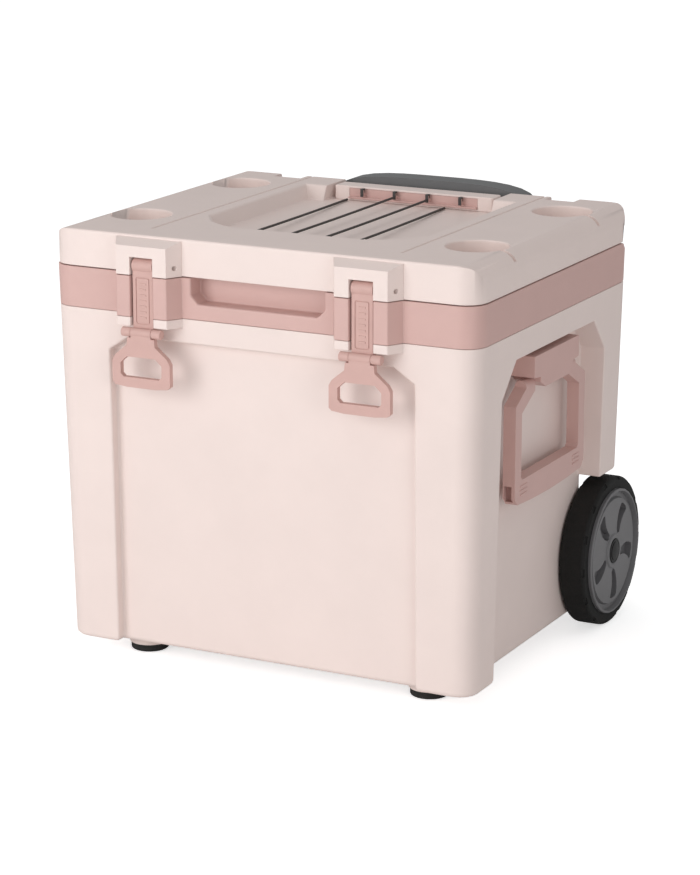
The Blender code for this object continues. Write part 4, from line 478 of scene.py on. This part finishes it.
def rounded_bar(name: str, centre: Vector, size: Vector, radius: float) -> bpy.types.Object:
    """A small block with round edges, for a rib or a stud.

    Args:
        name: the object's name.
        centre: its middle.
        size: its size along X, Y and Z.
        radius: how round its edges are.

    Returns:
        The block, with its place in its mesh.
    """
    deselect_everything()
    bpy.ops.mesh.primitive_cube_add(size=1.0, location=centre, scale=size)
    bar = bpy.context.active_object
    bar.name = name
    bpy.ops.object.transform_apply(location=True, rotation=True, scale=True)
    into_edit(bar, "EDGE", "SELECT")
    bpy.ops.mesh.bevel(offset=radius, segments=2, profile=0.5)
    out_of_edit()
    return bar


# ---------------------------------------------------------------- tub

@dataclass
class Tub:
    """Cream shell with its pink collar, feet, liner and foam."""

    boss_height: float = 6.0 * MM
    boss_round: float = 1.0 * MM
    bottom_band: float = 16.0 * MM
    bottom_round: float = 7.0 * MM
    rim_band: float = 1.0 * MM
    rim_round: float = 0.8 * MM
    tip_height: float = 14.0 * MM
    tip_round: float = 1.2 * MM
    front_depth: float = 45.0 * MM
    panel_round: float = 3.0 * MM
    corner_round: float = 2.0 * MM
    collar_round: float = 1.2 * MM
    pocket_half: float = 100.0 * MM
    pocket_round: float = 2.5 * MM
    small_round: float = 0.8 * MM

    def build(self) -> None:
        """Build and dress the tub's pieces."""
        self._shell()
        self._collar()
        self._feet()
        paint_node("tub_foam", STRAW_FOAM)
        liner = soften(copy_node("tub_liner", "chest_liner"), default=self.small_round, clamp=True)
        dress(liner, WHITE_LINER, "tub", ["tub_liner"])

    def _shell(self) -> None:
        """Round the shell's panels, wells and bottom edge."""
        low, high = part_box("tub_shell")
        shell = copy_node("tub_shell", "cream_tub")
        front = low.y + self.front_depth
        rules: list[Rule] = [
            (lambda point: point.z <= low.z + self.boss_height, self.boss_round),
            (lambda point: point.z <= low.z + self.bottom_band, self.bottom_round),
            (lambda point: point.z >= high.z - self.rim_band, self.rim_round),
            (lambda point: point.z >= high.z - self.tip_height and point.y <= front, self.tip_round),
            (lambda point: point.y <= front, self.panel_round),
        ]
        soften(shell, rules, default=self.corner_round)
        dress(shell, CREAM_SHELL, "tub", ["tub_shell"])

    def _collar(self) -> None:
        """Round the collar's edges, lugs and finger pocket."""
        low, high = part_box("collar")
        collar = copy_node("collar", "pink_collar")
        pocket = within((-self.pocket_half, low.y + 16 * MM, low.z + 10 * MM),
                        (self.pocket_half, low.y + 50 * MM, high.z - self.rim_band))
        soften(collar, [(pocket, self.pocket_round)], default=self.collar_round)
        dress(collar, PINK_SHELL, "tub", ["collar"])

    def _feet(self) -> None:
        """Turned rubber pads with a rounded tread edge."""
        for side, _sign in SIDES:
            pad = soften(copy_node(f"foot_{side}", f"rubber_foot_{side}"), default=self.small_round,
                         clamp=True)
            dress(pad, FOOT_RUBBER, "tub", [f"foot_{side}"])


# ---------------------------------------------------------------- lid

@dataclass
class Lid:
    """Cream lid with cup holders and a tray, with its liner, foam and gasket."""

    edge_round: float = 1.0 * MM
    sharp_degrees: float = 28.0
    bottom_round: float = 0.9 * MM
    rim_round: float = 2.4 * MM
    cup_rim_height: float = 16.0 * MM
    cup_floor_round: float = 1.8 * MM
    tray_half: float = 172.0 * MM
    tray_front: float = -175.0 * MM
    tray_rear: float = 40.0 * MM
    tray_reach: float = 30.0 * MM
    tray_round: float = 3.0 * MM
    tray_floor_round: float = 1.6 * MM
    groove_from: float = 173.8 * MM
    groove_to: float = 178.2 * MM
    groove_reach: float = 3.0 * MM
    groove_round: float = 0.9 * MM
    shoulder_x: float = 271.0 * MM
    shoulder_height: float = 26.0 * MM
    shoulder_round: float = 0.0
    strip_end_x: Range = (88.0 * MM, 106.0 * MM)
    strip_end_y: Range = (-168.0 * MM, -148.0 * MM)
    strip_end_round: float = 0.5 * MM
    mouth_x: float = 255.0 * MM
    mouth_half: float = 9.0 * MM
    lug_round: float = 2.2 * MM
    lug_root: float = 1.8 * MM
    seal_round: float = 0.8 * MM
    cup_radius: float = 40.0 * MM
    cup_x: float = 240.0 * MM
    cup_rows: tuple[float, float] = (-132.85 * MM, 133.65 * MM)

    def build(self) -> None:
        """Build and dress the lid's pieces."""
        self._shell()
        for side, _sign in SIDES:
            self._lug(side)
        paint_node("lid_foam", STRAW_FOAM)
        liner = soften(copy_node("lid_liner", "lid_inner_panel"), default=self.edge_round, clamp=True)
        dress(liner, WHITE_LINER, "lid", ["lid_liner"])
        gasket = soften(copy_node("lid_gasket", "lid_seal"), default=self.seal_round, clamp=True)
        dress(gasket, FOOT_RUBBER, "lid", ["lid_gasket"])

    def _near_cup(self, reach: float) -> EdgeTest:
        """A test for points near a cup holder's wall."""
        centres = [Vector((sign * self.cup_x, y)) for _side, sign in SIDES for y in self.cup_rows]
        return lambda point: any((point.xy - centre).length < self.cup_radius + reach
                                 for centre in centres)

    def _shell(self) -> None:
        """Round the lid's cups, tray, grooves and lugs."""
        low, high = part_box("lid_shell")
        top = high.z
        cup = self._near_cup(1.0 * MM)
        groove = lambda point: (point.z > top - self.groove_reach
                                and self.groove_from < abs(point.x) < self.groove_to)
        tray = within((-self.tray_half, self.tray_front, top - self.tray_reach),
                      (self.tray_half, high.y - self.tray_rear, top + NEAR))
        mouth = lambda point: abs(point.x) > self.mouth_x and min(
            abs(point.y - row) for row in self.cup_rows) < self.mouth_half
        strip_end = lambda point: (self.strip_end_x[0] < abs(point.x) < self.strip_end_x[1]
                                   and self.strip_end_y[0] < point.y < self.strip_end_y[1])
        rules: list[Rule] = [
            (groove, self.groove_round),
            (mouth, self.shoulder_round),
            (strip_end, self.strip_end_round),
            (lambda point: abs(point.x) > self.shoulder_x and point.z > top - self.shoulder_height,
             self.shoulder_round),
            (lambda point: cup(point) and point.z > top - self.cup_rim_height, self.rim_round),
            (cup, self.cup_floor_round),
            (lambda point: tray(point) and point.z > top - NEAR, self.tray_round),
            (tray, self.tray_floor_round),
            (lambda point: point.z < low.z + NEAR, self.bottom_round),
        ]
        lid = copy_node("lid_shell", "cream_lid")
        soften(lid, rules, default=self.edge_round, angle=self.sharp_degrees)
        dress(lid, CREAM_SHELL, "lid", ["lid_shell"])

    def _lug(self, side: str) -> None:
        """Set the root of one latch lug into the lid and round its free edges.

        Args:
            side: left or right.
        """
        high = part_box(f"lid_lug_{side}")[1]
        lug = copy_node(f"lid_lug_{side}", f"cream_lug_{side}")
        for vert in lug.data.vertices:
            if vert.co.y > high.y - 0.2 * MM:
                vert.co.y += self.lug_root
        buried = lambda point: point.y > high.y + 0.5 * self.lug_root
        soften(lug, [(buried, 0.0)], default=self.lug_round, clamp=True)
        dress(lug, CREAM_SHELL, "lid", [f"lid_lug_{side}"])


@dataclass
class TrayFittings:
    """Hook strips, their block, the four elastic cords and the wire hooks on their ends."""

    cord_radius: float = 1.6 * MM
    sag: float = 0.6 * MM
    hook_width: float = 4.6 * MM
    hook_wire: float = 1.3 * MM
    hook_height: float = 10.5 * MM
    hook_reach: float = 6.0 * MM
    block_end: float = 105.0 * MM
    block_round: float = 3.0 * MM
    pocket_round: float = 0.8 * MM
    strip_round: float = 0.5 * MM
    rear_lift: float = 2.0 * MM
    wire_round: float = 0.4 * MM
    cords: tuple[str, ...] = ("cord_1", "cord_2", "cord_3", "cord_4")

    def build(self) -> None:
        """Build and dress the tray's fittings."""
        outer_end = lambda point: abs(point.x) > self.block_end
        block = soften(copy_node("hook_block", "cream_hook_block", run_together=False),
                       [(outer_end, self.block_round)], default=self.pocket_round)
        dress(block, CREAM_SHELL, "lid", ["hook_block"])
        for node in ("rear_hook_strip", "front_hook_strip"):
            strip = soften(copy_node(node, f"pink_{node}", run_together=False),
                           default=self.strip_round, clamp=True)
            dress(strip, PINK_SHELL, "lid", [node])
        for node in self.cords:
            self._cord(node)

    def _cord(self, node: str) -> None:
        """One stretched cord with a wire hook at each end.

        Args:
            node: the cord's CAD node.
        """
        low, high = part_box(node)
        thick = self.cord_radius
        start = Vector((high.x - thick, low.y, high.z - thick))
        leans = high.z - low.z > 3 * thick
        end = Vector((low.x + thick, high.y, low.z + thick if leans else high.z - thick))
        drop = Vector((0, 0, -self.sag))
        points = [start, start.lerp(end, 0.33) + drop, start.lerp(end, 0.66) + drop, end]
        rod = shade(bent_rod(f"elastic_{node}", points, thick))
        dress(rod, ELASTIC_BRAID, "lid", [node])
        hook_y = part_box("rear_hook_strip")[0].y
        hooks = [self._hook(node, "front", Vector((start.x, low.y, start.z)), 1)]
        hooks.append(self._hook(node, "rear", Vector((start.x, hook_y, start.z + self.rear_lift)), -1))
        dress(shade(fused(f"wire_hooks_{node}", hooks)), DARK_WIRE, "lid")

    def _hook(self, node: str, end: str, tip: Vector, way: int) -> bpy.types.Object:
        """Flat wire bent over a moulded hook's tip.

        Args:
            node: the cord's CAD node.
            end: front or rear.
            tip: the middle of the moulded hook's outer face.
            way: which way along Y that face looks.

        Returns:
            The hook.
        """
        wide, thin, tall = self.hook_width, self.hook_wire, self.hook_height
        reach = self.hook_reach
        crown = tip.z + 0.5 * tall
        bars = (
            ("fore", -0.6 * thin, tip.z, (thin, tall)),
            ("over", 0.5 * reach - 1.2 * thin, crown, (reach, thin)),
            ("behind", reach - 1.8 * thin, crown - 0.25 * tall, (thin, 0.5 * tall)),
        )
        pieces = [rounded_bar(f"{node}_{end}_{name}", Vector((tip.x, tip.y - way * back, height)),
                              Vector((wide, *size)), self.wire_round)
                  for name, back, height, size in bars]
        return fused(f"{node}_{end}_hook", pieces)


# ---------------------------------------------------------------- latches

@dataclass
class Latch:
    """Rubber T-latch: strap, roll, crossbar and pull, with ribs inside the strap's ring groove."""

    rib_count: int = 7
    rib_width: float = 9.5 * MM
    rib_thickness: float = 2.4 * MM
    rib_proud: float = 0.75 * MM
    rib_round: float = 0.3 * MM
    sharp_degrees: float = 30.0
    strap_setback: float = 9.0 * MM
    strap_round: float = 1.2 * MM
    centre_x: float = 153.5 * MM
    panel: Range = (0.461, 0.518)

    def build(self) -> None:
        """Build and dress both latches."""
        for side, sign in SIDES:
            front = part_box(f"latch_{side}")[0].y
            strap = soften(copy_node(f"latch_{side}", f"strap_{side}"), default=self.strap_round,
                           angle=self.sharp_degrees, clamp=True)
            ribs = self._ribs(side, sign, front)
            body = fused(f"rubber_latch_{side}", [strap, *ribs])
            dress(body, PINK_RUBBER, f"{side}_latch", [f"latch_{side}"])
            bar = soften(copy_node(f"crossbar_{side}", f"rubber_crossbar_{side}"),
                         default=self.strap_round, clamp=True)
            dress(bar, PINK_RUBBER, f"{side}_latch", [f"crossbar_{side}"])
            paint_node(f"latch_pin_{side}", DRAWN_STEEL)

    def _ribs(self, side: str, sign: int, front: float) -> list[bpy.types.Object]:
        """Cross ribs inside the strap's ring groove.

        Args:
            side: left or right.
            sign: which way that side lies along X.
            front: the latch's foremost Y.

        Returns:
            One bar for each rib.
        """
        low, high = self.panel
        depth = front + self.strap_setback
        bars = []
        for index in range(self.rib_count):
            share = (index + 1) / (self.rib_count + 1)
            centre = Vector((sign * self.centre_x, depth, low + (high - low) * share))
            size = Vector((self.rib_width, 2 * self.rib_proud, self.rib_thickness))
            bars.append(rounded_bar(f"strap_rib_{side}_{index}", centre, size, self.rib_round))
        return bars


# ---------------------------------------------------------------- side handles

@dataclass
class SideHandle:
    """Bail handle in its bracket, with grip ribs at the corners of its bar."""

    edge_round: float = 4.5 * MM
    bracket_round: float = 1.6 * MM
    ridge_heights: tuple[float, float, float] = (252.0 * MM, 257.5 * MM, 263.0 * MM)
    ridge_size: Vector = field(default_factory=lambda: Vector((2.0 * MM, 22.0 * MM, 2.2 * MM)))
    ridge_middle: float = 84.0 * MM
    ridge_round: float = 0.7 * MM
    sharp_degrees: float = 30.0

    def build(self) -> None:
        """Build and dress both handles and brackets."""
        for side, sign in SIDES:
            bail = soften(copy_node(f"side_handle_{side}", f"bail_{side}"), default=self.edge_round,
                          angle=self.sharp_degrees, clamp=True)
            bail = fused(f"bail_{side}", [bail, *self._ridges(side, sign)])
            dress(bail, PINK_SHELL, f"{side}_side_handle", [f"side_handle_{side}"])
            bracket = soften(copy_node(f"side_bracket_{side}", f"bail_bracket_{side}"),
                             default=self.bracket_round, clamp=True)
            dress(bracket, PINK_SHELL, "tub", [f"side_bracket_{side}"])
            paint_node(f"side_handle_pin_{side}", DRAWN_STEEL)

    def _ridges(self, side: str, sign: int) -> list[bpy.types.Object]:
        """Grip ridges on the outer face, at both ends of the bail's bar.

        Args:
            side: left or right.
            sign: which way that side lies along X.

        Returns:
            One bar for each ridge.
        """
        low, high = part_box(f"side_handle_{side}")
        face = high.x if sign > 0 else low.x
        middle = (low.y + high.y) / 2
        bars = []
        for end in (-1, 1):
            for index, height in enumerate(self.ridge_heights):
                centre = Vector((face, middle + end * self.ridge_middle, height))
                bars.append(rounded_bar(f"ridge_{side}_{end}_{index}", centre, self.ridge_size,
                                        self.ridge_round))
        return bars


# ---------------------------------------------------------------- wheels

@dataclass
class Wheel:
    """Solid tyre with tread notches, nylon hub and its cap."""

    notches: int = 14
    steps: int = 112
    notch_depth: float = 1.6 * MM
    notch_share: float = 0.25
    notch_lean: float = 0.3
    notch_inset: float = 0.5 * MM
    gap: float = 0.3 * MM
    hub_round: float = 0.8 * MM
    cap_round: float = 0.4 * MM
    sharp_degrees: float = 30.0
    smooth_degrees: float = 50.0
    shoulder: float = 5.0 * MM
    bead: float = 1.1 * MM

    def build(self) -> None:
        """Build and dress both wheels, the axle and its rings."""
        for side, sign in SIDES:
            tyre = self._tyre(side)
            dress(tyre, TYRE_RUBBER, f"{side}_wheel", [f"tyre_{side}"])
            hub = soften(copy_node(f"hub_{side}", f"nylon_hub_{side}"), default=self.hub_round,
                         angle=self.sharp_degrees, clamp=True)
            dress(hub, HUB_NYLON, f"{side}_wheel", [f"hub_{side}"])
            cap = soften(copy_node(f"hub_cap_{side}", f"cap_{side}"), default=self.cap_round, clamp=True)
            dress(cap, CAP_ABS, f"{side}_wheel", [f"hub_cap_{side}"])
            # The bead's paler grey is a painted highlight on the hub's rim edge.
            dress(self._rim(side, sign), PAINTED_HIGHLIGHT_NYLON, f"{side}_wheel")
            paint_node(f"axle_ring_{side}", DRAWN_STEEL)
            paint_node(f"axle_spacer_{side}", BLACK_ABS)
        paint_node("axle", DRAWN_STEEL)

    def _rim(self, side: str, sign: int) -> bpy.types.Object:
        """A thin bead round the hub's outer face, which carries a painted highlight in a paler grey.

        Args:
            side: left or right.
            sign: which way that side lies along X.

        Returns:
            The bead.
        """
        low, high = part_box(f"hub_{side}")
        tyre_low, tyre_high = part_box(f"tyre_{side}")
        face = (tyre_high.x if sign > 0 else tyre_low.x) - sign * self.bead
        centre = (low + high) / 2
        deselect_everything()
        bpy.ops.mesh.primitive_torus_add(location=(face, centre.y, centre.z),
                                         rotation=(0, math.pi / 2, 0),
                                         major_radius=(high.z - low.z) / 2 - self.bead,
                                         minor_radius=self.bead, major_segments=96, minor_segments=8)
        bead = bpy.context.active_object
        bead.name = f"highlit_hub_bead_{side}"
        bpy.ops.object.transform_apply(location=True, rotation=True, scale=True)
        return shade(bead)

    def _tyre(self, side: str) -> bpy.types.Object:
        """Spin the tyre's section about the axle and press the tread notches into its shoulders.

        Args:
            side: left or right.

        Returns:
            The tyre.
        """
        low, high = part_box(f"tyre_{side}")
        hub_low, hub_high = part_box(f"hub_{side}")
        centre = (low + high) / 2
        outer = (high.z - low.z) / 2
        inner = (hub_high.z - hub_low.z) / 2 + self.gap
        deselect_everything()
        section = Vector((centre.x, centre.y, centre.z + (outer + inner) / 2))
        bpy.ops.mesh.primitive_plane_add(size=1.0, location=section, rotation=(math.pi / 2, 0, 0))
        tyre = bpy.context.active_object
        tyre.name = f"solid_tyre_{side}"
        tyre.scale = (high.x - low.x, outer - inner, 1.0)
        bpy.ops.object.transform_apply(location=True, rotation=True, scale=True)
        into_edit(tyre, "VERT", "DESELECT")
        out_of_edit()
        for vert in tyre.data.vertices:
            vert.select = vert.co.z > section.z
        bpy.ops.object.mode_set(mode="EDIT")
        bpy.ops.mesh.bevel(offset=self.shoulder, segments=4, profile=0.5, affect="VERTICES")
        bpy.ops.mesh.select_mode(type="FACE")
        bpy.ops.mesh.select_all(action="SELECT")
        bpy.ops.mesh.delete(type="ONLY_FACE")
        bpy.ops.mesh.select_mode(type="VERT")
        bpy.ops.mesh.select_all(action="SELECT")
        bpy.ops.mesh.spin(steps=self.steps, angle=math.tau, center=centre, axis=(1, 0, 0), dupli=False)
        bpy.ops.mesh.select_all(action="SELECT")
        bpy.ops.mesh.remove_doubles(threshold=WELD)
        bpy.ops.mesh.normals_make_consistent(inside=False)
        out_of_edit()
        self._notch(tyre, centre, outer)
        return shade(tyre, self.smooth_degrees)

    def _notch(self, tyre: bpy.types.Object, centre: Vector, outer: float) -> None:
        """Press short notches into both shoulders.

        Args:
            tyre: the tyre.
            centre: the wheel's middle.
            outer: the tyre's radius.
        """
        into_edit(tyre, "FACE", "DESELECT")
        out_of_edit()
        for face in tyre.data.polygons:
            offset = face.center - centre
            radial = Vector((0, offset.y, offset.z))
            turn = math.atan2(offset.z, offset.y) / math.tau % 1.0
            in_notch = (turn * self.notches) % 1.0 < self.notch_share
            slanted = abs(face.normal.x) > self.notch_lean and radial.length > outer - self.shoulder
            face.select = in_notch and slanted
        bpy.ops.object.mode_set(mode="EDIT")
        bpy.ops.mesh.inset(thickness=self.notch_inset, depth=-self.notch_depth)
        out_of_edit()


# ---------------------------------------------------------------- pull handle, hinges and drain

@dataclass
class PullHandle:
    """Arched grip with its trigger, on rails that slide in guides on the tub's back."""

    grip_round: float = 1.5 * MM
    guide_round: float = 0.5 * MM
    rail_round: float = 0.4 * MM
    sharp_degrees: float = 40.0

    def build(self) -> None:
        """Build and dress the pull handle."""
        grip = soften(copy_node("tow_grip", "arched_grip"), default=self.grip_round,
                      angle=self.sharp_degrees, clamp=True)
        dress(grip, CHARCOAL_NYLON, "tow_handle", ["tow_grip"])
        paint_node("tow_trigger", BLACK_ABS)
        for node in ("tow_bracket_upper", "tow_bracket_lower"):
            bracket = soften(copy_node(node, f"nylon_{node}"), default=self.grip_round, clamp=True)
            dress(bracket, CHARCOAL_NYLON, "tub", [node])
        for side, _sign in SIDES:
            guide = soften(copy_node(f"tow_guide_{side}", f"rail_guide_{side}"),
                           default=self.guide_round, clamp=True)
            dress(guide, BLACK_ABS, "tub", [f"tow_guide_{side}"])
            rail = soften(copy_node(f"tow_rail_{side}", f"rail_{side}"), default=self.rail_round,
                          clamp=True)
            dress(rail, ANODISED_RAIL, "tow_handle", [f"tow_rail_{side}"])


@dataclass
class Hinges:
    """Brackets on the collar and the pins through them."""

    edge_round: float = 1.2 * MM

    def build(self) -> None:
        """Build and dress the hinges."""
        for side, _sign in SIDES:
            bracket = soften(copy_node(f"hinge_bracket_{side}", f"lid_hinge_{side}"),
                             default=self.edge_round, clamp=True)
            dress(bracket, PINK_SHELL, "tub", [f"hinge_bracket_{side}"])
            paint_node(f"hinge_pin_{side}", DRAWN_STEEL)


@dataclass
class Drain:
    """Spout, seal and fluted plug low on the left side."""

    edge_round: float = 0.8 * MM

    def build(self) -> None:
        """Build and dress the drain."""
        plug = soften(copy_node("drain_plug", "fluted_plug"), default=self.edge_round, clamp=True)
        dress(plug, BLACK_ABS, "drain_stopper", ["drain_plug"])
        spout = soften(copy_node("drain_spout", "drain_flange"), default=self.edge_round, clamp=True)
        dress(spout, CHARCOAL_NYLON, "tub", ["drain_spout"])
        paint_node("drain_seal", FOOT_RUBBER)


# ---------------------------------------------------------------- studio

@dataclass
class Studio:
    """Pale floor, soft lights and the camera."""

    azimuth: float = 26.9448
    elevation: float = 14.6822
    distance: float = 3.9141
    target: tuple[float, float, float] = (0.0047, -0.01635, 0.271)
    lens: float = 121.81
    ambient: float = 0.47
    floor_lift: float = 0.62
    lamps: list[tuple[str, tuple[float, float, float], float, float]] = field(default_factory=lambda: [
        ("key_softbox", (-1.7, -3.7, 1.3), 2.6, 79.0),
        ("side_softbox", (3.2, -2.6, 1.1), 1.8, 26.0),
        ("top_softbox", (-0.6, -0.4, 3.6), 2.6, 14.0),
    ])

    def build(self) -> None:
        """Build the floor, the world, the lamps and the camera."""
        self._floor()
        self._world()
        for name, place, size, power in self.lamps:
            self._lamp(name, place, size, power)
        self._camera()

    def _floor(self) -> None:
        """A wide pale floor that reads as paper."""
        deselect_everything()
        bpy.ops.mesh.primitive_plane_add(size=60.0, location=(0, 0, 0))
        floor = bpy.context.active_object
        floor.name = "paper_floor"
        material = bpy.data.materials.new("white_studio_paper")
        material.use_nodes = True
        tree = material.node_tree
        shader = tree.nodes["Principled BSDF"]
        shader.inputs["Base Color"].default_value = linear("f6f6f6")
        shader.inputs["Roughness"].default_value = 0.9
        shader.inputs["Specular IOR Level"].default_value = 0.1
        seen = add_node(tree, "ShaderNodeLightPath").outputs["Is Camera Ray"]
        lift = add_node(tree, "ShaderNodeMath", {"operation": "MULTIPLY"})
        lift.inputs[1].default_value = self.floor_lift
        tree.links.new(seen, lift.inputs[0])
        glow = add_node(tree, "ShaderNodeEmission", {"Color": (1.0, 1.0, 1.0, 1.0)},
                        {"Strength": lift.outputs["Value"]})
        both = add_node(tree, "ShaderNodeAddShader")
        tree.links.new(shader.outputs["BSDF"], both.inputs[0])
        tree.links.new(glow.outputs["Emission"], both.inputs[1])
        tree.links.new(both.outputs["Shader"], tree.nodes["Material Output"].inputs["Surface"])
        floor.data.materials.append(material)

    def _world(self) -> None:
        """Even white light, with a white backdrop."""
        world = bpy.data.worlds.new("studio_world")
        bpy.context.scene.world = world
        world.use_nodes = True
        tree = world.node_tree
        tree.nodes.clear()
        seen = add_node(tree, "ShaderNodeLightPath").outputs["Is Camera Ray"]
        strength = add_node(tree, "ShaderNodeMapRange", {"To Min": self.ambient, "To Max": 1.0},
                            {"Value": seen})
        back = add_node(tree, "ShaderNodeBackground", {"Color": (1.0, 1.0, 1.0, 1.0)},
                        {"Strength": strength.outputs["Result"]})
        add_node(tree, "ShaderNodeOutputWorld", links={"Surface": back.outputs["Background"]})

    def _lamp(self, name: str, place: tuple[float, float, float], size: float, power: float) -> None:
        """One square softbox that faces the chest.

        Args:
            name: the lamp's name.
            place: where it stands.
            size: its side.
            power: its power in watts.
        """
        data = bpy.data.lights.new(name, "AREA")
        data.shape = "SQUARE"
        data.size = size
        data.energy = power
        lamp = bpy.data.objects.new(name, data)
        lamp.location = place
        aim = Vector(self.target) - Vector(place)
        lamp.rotation_euler = aim.to_track_quat("-Z", "Y").to_euler()
        lamp.visible_camera = False
        bpy.context.scene.collection.objects.link(lamp)

    def _camera(self) -> None:
        """The camera, three quarters on from the front right."""
        turn, rise = math.radians(self.azimuth), math.radians(self.elevation)
        back = Vector((math.sin(turn) * math.cos(rise), -math.cos(turn) * math.cos(rise), math.sin(rise)))
        data = bpy.data.cameras.new("product_camera")
        data.sensor_width = 36.0
        data.lens = self.lens
        data.clip_end = 100.0
        camera = bpy.data.objects.new("product_camera", data)
        camera.location = Vector(self.target) + back * self.distance
        camera.rotation_mode = "QUATERNION"
        camera.rotation_quaternion = (-back).to_track_quat("-Z", "Y")
        bpy.context.scene.collection.objects.link(camera)
        bpy.context.scene.camera = camera
        bpy.context.scene.view_settings.view_transform = "Standard"


def main() -> None:
    """Build every sub-assembly, then the studio."""
    logging.basicConfig(level=logging.INFO, format="%(name)s %(message)s")
    for assembly in (Tub(), Lid(), TrayFittings(), Latch(), SideHandle(), Wheel(), PullHandle(), Hinges(),
                     Drain(), Studio()):
        LOG.info("building %s", type(assembly).__name__)
        assembly.build()


if __name__ == "__main__":
    main()
